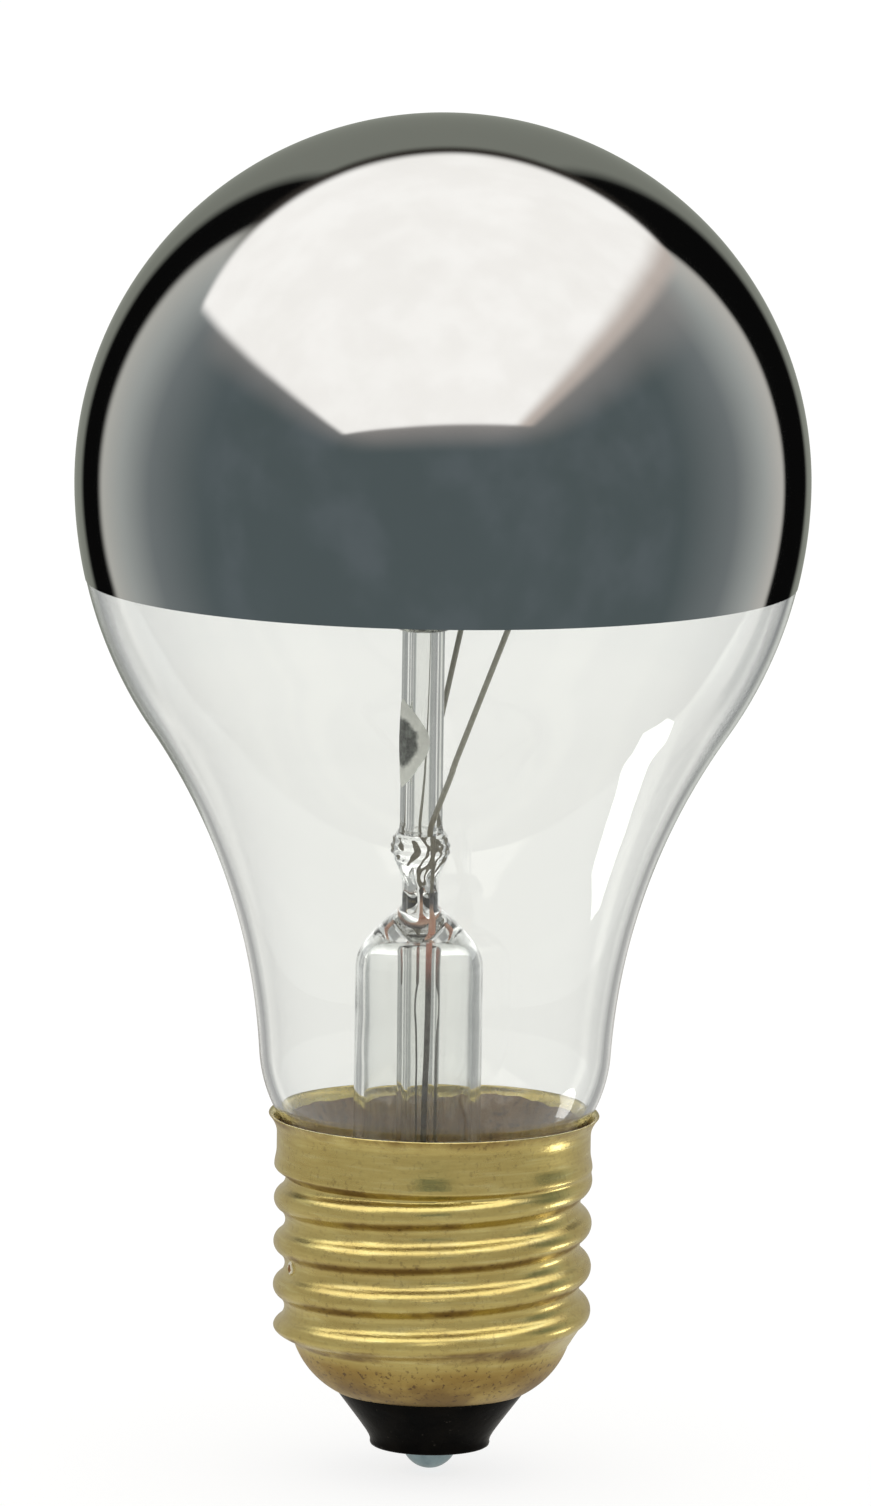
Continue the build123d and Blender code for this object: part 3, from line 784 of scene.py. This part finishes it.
# %% Insulator piece and finish
insulator_outline = [
    (10.36, 9.38), (10.1, 8.98), (9.35, 8.12), (8.5, 7.42), (7.89, 7.04), (7.86, 6.76), (7.78, 6.6),
    (6.95, 5.5), (5.9, 4.1), (5.3, 3.25), (5.02, 2.75), (4.93, 2.45), (4.95, 2.25), (4.9, 2.08),
    (4.78, 2.0), (3.66, 2.0), (3.63, 2.06), (3.63, 2.4), (1.03, 2.4), (1.03, 4.4), (3.2, 8.0),
    (6.8, 8.9), (10.2, 9.4),
]
insulator = turned("black_insulator", insulator_outline, joined=True, sharp_angle=50)
rounded = insulator.modifiers.new("soft mould edges", "BEVEL")
rounded.width = 0.00006
rounded.segments = 2
rounded.limit_method = "ANGLE"
rounded.angle_limit = math.radians(50)

cast_glass, tree, shader, place_in = new_finish("black cast glass")
flow = speckle(tree, place_in, 420.0, 3.0)
dust = speckle(tree, place_in, 2200.0, 2.0)
black_tone = ramp(tree, flow, [(0.35, (0.002, 0.002, 0.002)), (0.75, (0.006, 0.005, 0.004))])
fill(
    shader,
    Base_Color=mix_colours(tree, rise(tree, dust, 0.68, 0.75), black_tone, (0.03, 0.026, 0.022, 1)),
    Specular_IOR_Level=0.025,
    Roughness=scaled(tree, flow, 0.3, 0.12),
    Normal=bumped(tree, flow, 0.25, 0.0003),
)
place(insulator, cast_glass, "cap_insulator")

# %% Eyelet and solder drop
eyelet_outline = [
    (0.65, 2.0), (3.5, 2.0), (3.6, 2.08), (3.6, 2.36), (3.5, 2.4), (1.0, 2.4), (1.0, 4.35), (0.9, 4.4),
    (0.65, 4.4),
]
drop_around, drop_steps = 72, 18
eyelet = turned("brass_eyelet", eyelet_outline, drop_around, joined=True)
place(eyelet, shell_brass, "centre_contact")

solder_r, solder_height, solder_core_r, solder_core_z = 2.25, 2.0, 0.62, 3.5
dome_r = (solder_r**2 + solder_height**2) / (2 * solder_height)


def drop_row(share):
    """Ring of the solder drop, less round the higher it is."""
    z = solder_height * share**1.6
    radius = math.sqrt(max(0, dome_r**2 - (dome_r - z) ** 2))
    row = []
    for angle in range(0, 360, 360 // drop_around):
        sag = 0.035 * math.sin(math.radians(2 * angle + 40)) + 0.015 * math.sin(math.radians(5 * angle))
        row.append(polar(radius * (1 + sag * share), angle, z))
    return row


drop_rows = [[(0, 0, 0.0)]] + [drop_row(step / drop_steps) for step in range(1, drop_steps + 1)]
drop_rows += [ring(solder_core_r, z, drop_around) for z in (solder_height, solder_core_z)]
solder = skin("solder_drop", drop_rows + [[(0, 0, solder_core_z)]])

solder_grey, tree, shader, place_in = new_finish("solder")
frost = speckle(tree, place_in, 900.0, 5.0)
fill(
    shader,
    Metallic=0.85,
    Base_Color=ramp(tree, frost, [(0.3, (0.2, 0.28, 0.32)), (0.7, (0.35, 0.46, 0.5))]),
    Roughness=scaled(tree, frost, 0.3, 0.22),
    Normal=bumped(tree, frost, 0.2, 0.0002),
)
place(solder, solder_grey, "centre_solder")

# %% [markdown]
# ## Glass stem
# The stem stands a little to the left of the axis. A glass tube is flared at its foot, where its flange
# meets the neck, and its top is pinched flat while hot round the wires, under a head with folded rings.
# Each row is an oval with a width along Y and a thickness along X. The rows run from the hollow's roof
# down the inside, round the flange and up the outside.

# %% Stem glass finish
stem_stops = [(0.0, (0.955, 0.96, 0.95)), (0.7, (0.93, 0.94, 0.935)), (0.92, (0.6, 0.62, 0.63))]
stem_glass = glass_finish("stem glass", stem_stops, 150.0, 0.12, 0.02)
print("stem glass finish is ready")

# %% Form of the stem
stem_shift, stem_around = -1.4, 96
flare_r, flare_wall, flare_z, press_z, cavity_z = 5.25, 0.8, 42.0, 47.1, 45.4
press_width, press_thickness = 7.0, 3.0
head_z, head_top_z, head_ring = 49.0, 53.4, 0.66
trumpet_rim_r = neck_r - glass_wall + stem_shift
trumpet_r = trumpet_rim_r - flare_r
trumpet_z = neck_z + trumpet_r
roof_share = (cavity_z - flare_z) / (press_z - flare_z)


def oval(z, width, thickness, fold=lambda angle: 0.0):
    angles = [2 * math.pi * step / stem_around for step in range(stem_around)]
    return [((thickness / 2 + fold(a)) * math.cos(a), (width / 2 + fold(a)) * math.sin(a), z) for a in angles]


def trumpet(slope, wall):
    """Ring on the flare's bell, from upright at slope 0 to level at a quarter turn."""
    radius = trumpet_r + wall
    return ring(trumpet_rim_r - radius * math.cos(slope), trumpet_z - radius * math.sin(slope), stem_around)


def shoulder(share, inset):
    """Oval where the tube is drawn in to the flat pinch; its hollow closes under a rounded roof."""
    swell = math.cos(share * math.pi / 2)
    roof = math.sqrt(max(0, 1 - (share / roof_share) ** 4)) if inset else 1.0
    width = press_width + (2 * flare_r - press_width) * swell - 2 * inset
    thickness = press_thickness + (2 * flare_r - press_thickness) * swell - 2 * inset
    return oval(flare_z + share * (press_z - flare_z), width * roof, thickness * roof)


def head(share):
    """Oval of the head, which swells to a ring near its top, with swirls left by the flame."""
    swell = math.sin(math.pi / 2 * min(share / head_ring, 1) ** 2.0)
    swell *= math.cos(math.pi / 3 * max(share - head_ring, 0) / (1 - head_ring))
    depth = 0.05 * ease(share / 0.15) * (1 - ease((share - 0.9) / 0.1))

    def fold(angle):
        swirl = noise.noise(Vector((2.6 * math.cos(angle), 2.6 * math.sin(angle), 6 * share)))
        upright = math.sin(11 * angle + 3 * math.sin(2 * math.pi * share))
        level = math.sin(2 * math.pi * 7 * share + 1.6 * math.sin(angle)) * ease((share - 0.35) / 0.2)
        return depth * (0.9 * upright + level + 1.2 * swirl)

    z = head_z + share * (head_top_z - head_z)
    return oval(z, press_width + 0.3 * swell, press_thickness + 1.8 * swell, fold)


print("stem sits", -stem_shift, "mm left of the axis")

# %% Stem piece
quarter = heights(0, math.pi / 2, 14)
tube_levels = heights(trumpet_z, flare_z, 8)[1:-1]
roof_shares = [roof_share * math.sin(slope) ** 0.6 for slope in heights(0, math.pi / 2, 18)]
stem_rows = [[(0, 0, cavity_z)]] + [shoulder(share, flare_wall) for share in roof_shares[-2::-1]]
stem_rows += [ring(flare_r - flare_wall, z, stem_around) for z in tube_levels[::-1]]
stem_rows += [trumpet(slope, flare_wall) for slope in quarter]
for z in (neck_z - flare_wall, neck_z):
    stem_rows.append([(x - stem_shift, y, z) for x, y, z in ring(neck_r, z, stem_around)])
stem_rows += [trumpet(slope, 0) for slope in quarter[::-1]]
stem_rows += [ring(flare_r, z, stem_around) for z in tube_levels]
stem_rows += [shoulder(share, 0) for share in heights(0, 1, 16)]
stem_rows += [head(share) for share in heights(0, 1, 56)] + [[(0, 0, head_top_z)]]
stem = skin("stem_flare_glass", stem_rows, sharp_angle=60)
place(stem, stem_glass, "stem_flare", stem_shift)

# %% [markdown]
# The lamp was pumped out through the exhaust tube, whose lower end was then melted shut. The arbor, which
# carries the filament's hooks, is a similar tube: the lead behind it looks thinner through it, which a
# solid rod would not do. Both outlines run along the bore and back on the outside.

# %% Exhaust tube
tube_r, tube_bore_r, tube_end, tube_top = 1.75, 0.9, 11.1, cavity_z - 0.6
tip_inside = [(0, 2.2), (0.5, 2.4), (0.8, 2.8), (tube_bore_r, 3.3)]
tip_outside = [(1.6, 1.7), (1.15, 0.8), (0.7, 0.2), (0.3, 0), (0, 0)]
tube_outline = [(radius, tube_end + z) for radius, z in tip_inside]
tube_outline += [(tube_bore_r, z) for z in heights(tube_end + 4, tube_top - 0.8, 10)]
tube_outline += [(1.0, tube_top - 0.2), (1.3, tube_top), (1.6, tube_top - 0.2), (tube_r, tube_top - 0.7)]
tube_outline += [(tube_r, z) for z in heights(tube_end + 2.3, tube_top - 1.4, 10)[::-1]]
tube_outline += [(radius, tube_end + z) for radius, z in tip_outside]
exhaust = turned("exhaust_tube_glass", tube_outline, around=64, sharp_angle=60)
place(exhaust, stem_glass, "exhaust_tube", stem_shift)

# %% Arbor
arbor_r, arbor_bore_r, button_r, button_z, button_half = 1.75, 0.85, 2.65, 71.0, 1.2
arbor_foot, bore_top, button_top = head_top_z - 0.05, button_z + button_half - 0.8, button_z + button_half
bore_end = [(0, 0), (0.4, 0.1), (0.7, 0.4), (arbor_bore_r, 0.9)]
arbor_outline = [(radius, bore_top - drop) for radius, drop in bore_end]
arbor_outline += [(arbor_bore_r, z) for z in heights(arbor_foot + 0.5, bore_top - 1.5, 12)[::-1]]
arbor_outline += [(0.95, arbor_foot), (1.9, arbor_foot), (1.8, arbor_foot + 0.3)]
arbor_outline += [(arbor_r, z) for z in heights(arbor_foot + 0.8, button_z - button_half - 0.2, 14)]
swell_r = (4 * button_r - arbor_r) / 3
for share in heights(0, 1, 18):
    radius = arbor_r * ((1 - share) ** 3 + share**3) + 3 * swell_r * share * (1 - share)
    arbor_outline.append((radius, button_z - button_half + 2 * button_half * ease(share)))
arbor_outline += [(1.2, button_top), (0, button_top)]
arbor = turned("arbor_glass", arbor_outline, around=72, sharp_angle=60)
place(arbor, stem_glass, "arbor", stem_shift)

# %% [markdown]
# ## Wires
# Each lead is three wires in a row: nickel inside the lamp, a copper-clad seal wire through the pinch,
# because it keeps tight to glass as it warms, and a plain wire down into the cap. A wire is a round
# section carried along a smoothed line, and each section turns as little as possible from the one before
# it.

# %% Helpers for wires
def smooth_line(points, steps):
    """Points on a smooth curve through the given points."""
    knots = [Vector(point) for point in points]
    knots = [2 * knots[0] - knots[1]] + knots + [2 * knots[-1] - knots[-2]]
    line = []
    for a, b, c, d in zip(knots, knots[1:], knots[2:], knots[3:]):
        for step in range(steps):
            t = step / steps
            square, cube = (2 * a - 5 * b + 4 * c - d) * t**2, (3 * b - a - 3 * c + d) * t**3
            line.append(0.5 * (2 * b + (c - a) * t + square + cube))
    return line + [knots[-2]]


def rounded_line(points, bend, steps=6):
    """Points along straight runs whose corners are rounded off over a length of bend on each side."""
    knots = [Vector(point) for point in points]
    line = [knots[0]]
    for a, b, c in zip(knots, knots[1:], knots[2:]):
        reach = min(bend, (a - b).length * 0.45, (c - b).length * 0.45)
        start, end = b + (a - b).normalized() * reach, b + (c - b).normalized() * reach
        for t in heights(0, 1, steps):
            line.append(start * (1 - t) ** 2 + 2 * b * t * (1 - t) + end * t**2)
    return line + [knots[-1]]


def drawn_wire(name, line, radius, around=12):
    """A round wire along a line; radius is a number or a function of the share of its length."""
    rows, side = [], None
    turns = [2 * math.pi * step / around for step in range(around)]
    for index, point in enumerate(line):
        ahead = line[min(index + 1, len(line) - 1)] - line[max(index - 1, 0)]
        ahead.normalize()
        if side is None:
            side = ahead.orthogonal().normalized()
        side = (side - ahead * side.dot(ahead)).normalized()
        across = ahead.cross(side)
        size = radius(index / (len(line) - 1)) if callable(radius) else radius
        rows.append([point + size * (side * math.cos(turn) + across * math.sin(turn)) for turn in turns])
    return skin(name, [[line[0]]] + rows + [[line[-1]]], sharp_angle=60)


print("wire helpers are ready")

# %% [markdown]
# Nickel wire is dull silver with fine marks, and it is dark near the pinch, where the flame reached it.
# The same finish, with other tones, serves the supports, the outer leads and the tungsten. The seal wire
# goes from dark red to copper, with a black end at the weld.

# %% Wire finishes
scorch_z, scorch_reach, scorch_tone = 0.0532, 0.004, (0.17, 0.14, 0.09, 1)
seal_low, seal_top = 40.4, 48.6


def wire_finish(name, dark, light, metal, roughness, scorched=False):
    material, tree, shader, place_in = new_finish(name)
    marks = speckle(tree, place_in, 1800.0, 4.0)
    tone = ramp(tree, marks, [(0.3, dark), (0.7, light)])
    if scorched:
        burnt = fall(tree, split(tree, place_in)[2], scorch_z, scorch_z + scorch_reach)
        tone = mix_colours(tree, times(tree, burnt, 0.75), tone, scorch_tone)
    fill(
        shader,
        Metallic=metal,
        Base_Color=tone,
        Roughness=scaled(tree, marks, 0.25, roughness),
        Normal=bumped(tree, marks, 0.2, 0.0001),
    )
    return material


nickel = wire_finish("nickel wire", (0.3, 0.29, 0.24), (0.4, 0.39, 0.335), 0.5, 0.3, scorched=True)
support_metal = wire_finish("support wire", (0.28, 0.28, 0.28), (0.44, 0.44, 0.43), 0.9, 0.3)
outer_metal = wire_finish("outer lead wire", (0.07, 0.065, 0.06), (0.16, 0.15, 0.14), 0.6, 0.4)
tungsten = wire_finish("tungsten", (0.13, 0.13, 0.14), (0.26, 0.26, 0.27), 0.95, 0.3)

copper_seal, tree, shader, place_in = new_finish("copper-clad seal wire")
along = rise(tree, split(tree, place_in)[2], seal_low * MM, seal_top * MM)
copper_stops = [
    (0.0, (0.12, 0.09, 0.08)), (0.15, (0.3, 0.09, 0.065)), (0.5, (0.52, 0.19, 0.12)),
    (0.9, (0.66, 0.38, 0.26)), (0.97, (0.06, 0.05, 0.045)),
]
marks = speckle(tree, place_in, 1500.0, 4.0)
copper_tone = ramp(tree, along, copper_stops)
copper_tone = mix_colours(tree, rise(tree, marks, 0.5, 0.8), copper_tone, (0.2, 0.09, 0.07, 1))
rough_copper = bumped(tree, marks, 0.3, 0.0001)
fill(shader, Metallic=0.35, Base_Color=copper_tone, Roughness=0.45, Normal=rough_copper)
print("wire finishes are ready")

# %% Inner leads
filament_z, filament_r, coil_r = 79.5, 11.0, 0.5
front_angle, back_angle = -30.0, 59.0
lead_r, hook_gap = 0.24, 0.05
lead_front, lead_back = (0.75, -2.2), (-0.2, 2.2)
tail_angle = math.degrees(1.0 / filament_r)


def hook_points(angle, wire_r, outward):
    """Corners of a hook over the filament, from the side it comes up on to its free end."""
    step = coil_r + wire_r + hook_gap
    near, far = filament_r + outward * step, filament_r - outward * step
    return [
        polar(near, angle, filament_z - 1.2),
        polar(near, angle, filament_z + step),
        polar(far, angle, filament_z + step),
        polar(far, angle, filament_z - 0.3),
    ]


lead_ends = {"front": (lead_front, front_angle - tail_angle), "back": (lead_back, back_angle + tail_angle)}
for side, (foot, angle) in lead_ends.items():
    points = [(*foot, seal_top), (*foot, head_top_z + 0.6)] + hook_points(angle, lead_r, 1)
    lead = drawn_wire(f"nickel_lead_{side}", rounded_line(points, 0.55), lead_r)
    place(lead, nickel, f"inner_lead_{side}", stem_shift)

# %% Seal wires and outer leads
def knotted(share):
    """Radius of a seal wire, with the weld's knot at its upper end."""
    return lead_r + 0.14 * math.exp(-(((share - 0.97) / 0.035) ** 2))


for side, foot in (("front", lead_front), ("back", lead_back)):
    seal_line = [Vector((*foot, z)) for z in heights(seal_low, seal_top, 60)]
    seal = drawn_wire(f"seal_wire_{side}_copper", seal_line, knotted)
    place(seal, copper_seal, f"seal_wire_{side}", stem_shift)

centre_points = [
    (-0.65, -2.2, seal_low), (-0.7, -2.2, 36), (-0.85, -2.15, 30), (-0.9, -2.15, 24), (-0.8, -2.2, 17),
    (-0.7, -2.1, 11), (-0.3, -0.9, 8), (0, 0, 5), (0, 0, 3.5),
]
centre_lead = drawn_wire("centre_lead_wire", smooth_line(centre_points, 10), lead_r)
place(centre_lead, outer_metal, "centre_lead")

weld_angle, weld_z, side_r, side_wire_r = 199.0, 17.31, 11.55, 0.15
side_points = [
    (-1.6, 2.2, seal_low), (-1.85, 2.15, 39.4), (-1.95, 2.1, 38.2), (-1.7, 2.15, 36), (-1.65, 2.2, 31),
    (-1.6, 2.2, 24), (-1.6, 2.2, 13.5), (-2.2, 1.9, 11.6), polar(6.5, 187, 11.2), polar(9.5, 195, 11.2),
    polar(side_r - 0.4, weld_angle, 11.8), polar(side_r, weld_angle, 13.2),
    polar(side_r, weld_angle, weld_z + 0.35),
]
side_lead = drawn_wire("side_lead_wire", smooth_line(side_points, 10), side_wire_r, around=10)
place(side_lead, outer_metal, "side_lead")

# %% [markdown]
# ## Filament and its hooks
# The filament is a fine tungsten coil, bent into a horseshoe that hangs level in three hooks, with its
# ends clamped in the leads. It is a wire along a helix wrapped round the horseshoe's arc: two angles, one
# slow and one fast. The CAD solid is the outer form of that coil.

# %% Filament coil
filament_turn = back_angle - 360 - front_angle
coil_turns, coil_steps, coil_wire = 150, 14, 0.1
helix_r = coil_r - coil_wire
coil_line = []
for share in heights(0, 1, coil_turns * coil_steps):
    angle = front_angle + filament_turn * share
    twist = 2 * math.pi * coil_turns * share
    reach, lift = filament_r + helix_r * math.cos(twist), helix_r * math.sin(twist)
    coil_line.append(Vector(polar(reach, angle, filament_z + lift)))
filament = drawn_wire("filament_coil", coil_line, coil_wire, around=6)
place(filament, tungsten, "filament", stem_shift)

# %% Support hooks
support_r = 0.15
for side, share in (("front", 1 / 4), ("left", 1 / 2), ("back", 3 / 4)):
    angle = front_angle + filament_turn * share
    points = [polar(button_r - 1.2, angle, button_z), polar(button_r + 0.9, angle, button_z)]
    points += hook_points(angle, support_r, -1)
    hook = drawn_wire(f"support_hook_{side}", rounded_line(points, 0.45), support_r, around=10)
    place(hook, support_metal, f"support_{side}", stem_shift)

# %% [markdown]
# ## Getter
# A dab of getter paint on the arbor takes up the last of the air. It dried as a lens-shaped spot with a
# dark middle and a pale chalky border. The dab is a thin patch on the rod, and its two tones follow the
# distance from its middle, with a ragged border from noise.

# %% Getter dab
getter_angle, getter_z, getter_half_height, getter_half_turn = 205.0, 60.7, 3.55, 86.0
dab_around, dab_steps, dab_edge, dab_swell, dab_foot = 72, 24, 0.02, 0.13, 0.004


def dab_row(spread, lift):
    """Ring of the dab at a share of its size and a height over the glass."""
    row = []
    for step in range(dab_around):
        turn = 2 * math.pi * step / dab_around
        wobble = 1 + 0.06 * noise.noise(Vector((2 * math.cos(turn), 2 * math.sin(turn), 1.0)))
        narrowing = 0.3 + 0.7 * math.cos(turn) ** 2
        angle = getter_angle + getter_half_turn * math.cos(turn) * spread * narrowing * wobble
        z = getter_z + getter_half_height * math.sin(turn) * spread * wobble
        row.append(polar(arbor_r + lift, angle, z))
    return row


dab_rows = [[polar(arbor_r + dab_edge + dab_swell, getter_angle, getter_z)]]
for spread in heights(0, 1, dab_steps)[1:]:
    dab_rows.append(dab_row(spread, dab_edge + dab_swell * (1 - spread**2)))
dab = skin("getter_dab", dab_rows + [dab_row(1, dab_foot)])
print("dab rows:", len(dab_rows))

# %% Getter paint
core_half_turn, core_half_height = math.radians(56), 2.05 * MM
getter_paint, tree, shader, place_in = new_finish("getter paint")
x, y, z = split(tree, place_in)
left_of_stem = maths(tree, "SUBTRACT", stem_shift * MM, x)
turn = maths(tree, "ARCTAN2", times(tree, y, -1.0), left_of_stem)
turn = maths(tree, "SUBTRACT", turn, math.radians(getter_angle - 180))
turn = maths(tree, "DIVIDE", turn, core_half_turn)
lift = maths(tree, "DIVIDE", maths(tree, "SUBTRACT", z, getter_z * MM), core_half_height)
distance = maths(tree, "ADD", times(tree, turn, turn), times(tree, lift, lift))
powder = speckle(tree, place_in, 1600.0, 5.0, 0.7)
distance = maths(tree, "ADD", maths(tree, "SQRT", distance), scaled(tree, powder, 0.4, -0.2))
core_tone = ramp(tree, powder, [(0.35, (0.05, 0.055, 0.05)), (0.65, (0.22, 0.235, 0.22))])
border_tone = ramp(tree, powder, [(0.3, (0.7, 0.7, 0.66)), (0.7, (0.88, 0.88, 0.84))])
getter_tone = mix_colours(tree, rise(tree, distance, 0.82, 1.08), core_tone, border_tone)
fill(shader, Base_Color=getter_tone, Roughness=0.8, Normal=bumped(tree, powder, 0.4, 0.0002))
place(dab, getter_paint, "getter_spot", stem_shift)

# %% [markdown]
# ## Side weld
# The thin side lead ends in a small hole in a groove of the thread, where it was welded to the shell. The
# nugget is a lumpy button, brown from the heat in its middle, with a painted highlight round its rim, where
# its colour turns near white.

# %% Side weld nugget
nugget_outline = [
    (11.7, 0.3), (11.9, 0.32), (12.2, 0.46), (12.34, 0.44), (12.4, 0.36), (12.37, 0.26), (12.33, 0.14),
]
nugget_start, nugget_middle, nugget_tip = 11.7, 12.36, 12.32
nugget_around, groove_r = 28, 12
weld_axis = Vector(polar(1, weld_angle, 0))
weld_side = Vector((0, 0, 1)).cross(weld_axis)
weld_place = Vector((0, 0, weld_z))


def nugget_row(depth, radius):
    """Lumpy ring at a depth from the lamp's axis, drawn up above the groove."""
    row = []
    for step in range(nugget_around):
        turn = 2 * math.pi * step / nugget_around
        lump = 1 + 0.16 * math.sin(3 * turn + depth * 5) + 0.08 * math.sin(7 * turn)
        tall = 1.0 + 0.5 * max(0, math.sin(turn)) if depth > groove_r else 1.0
        off_axis = weld_side * math.cos(turn) + Vector((0, 0, tall * math.sin(turn)))
        row.append(weld_place + weld_axis * depth + radius * lump * off_axis)
    return row


nugget_rows = [[weld_place + weld_axis * nugget_start]]
nugget_rows += [nugget_row(depth, radius) for depth, radius in nugget_outline]
nugget_rows += [[weld_place + weld_axis * nugget_tip]]
nugget = skin("weld_nugget", nugget_rows, sharp_angle=70)

weld_brown, tree, shader, place_in = new_finish("weld metal")
burn = speckle(tree, place_in, 2500.0, 4.0)
off_middle = {0: place_in, 1: (weld_place + weld_axis * nugget_middle) * MM}
off_middle = add_node(tree, "VectorMath", off_middle, operation="DISTANCE").outputs["Value"]
weld_stops = [(0.35, (0.2, 0.08, 0.02)), (0.5, (0.42, 0.22, 0.07)), (0.65, (0.6, 0.36, 0.12))]
weld_tone = ramp(tree, burn, weld_stops)
# Beyond about 0.3 mm from the middle the colour turns near white: a painted highlight on the rim.
fill(
    shader,
    Metallic=0.8,
    Base_Color=mix_colours(tree, rise(tree, off_middle, 0.0003, 0.00038), weld_tone, (0.97, 0.93, 0.78, 1)),
    Roughness=scaled(tree, burn, 0.3, 0.25),
    Normal=bumped(tree, burn, 0.6, 0.0002),
)
place(nugget, weld_brown, "side_weld")
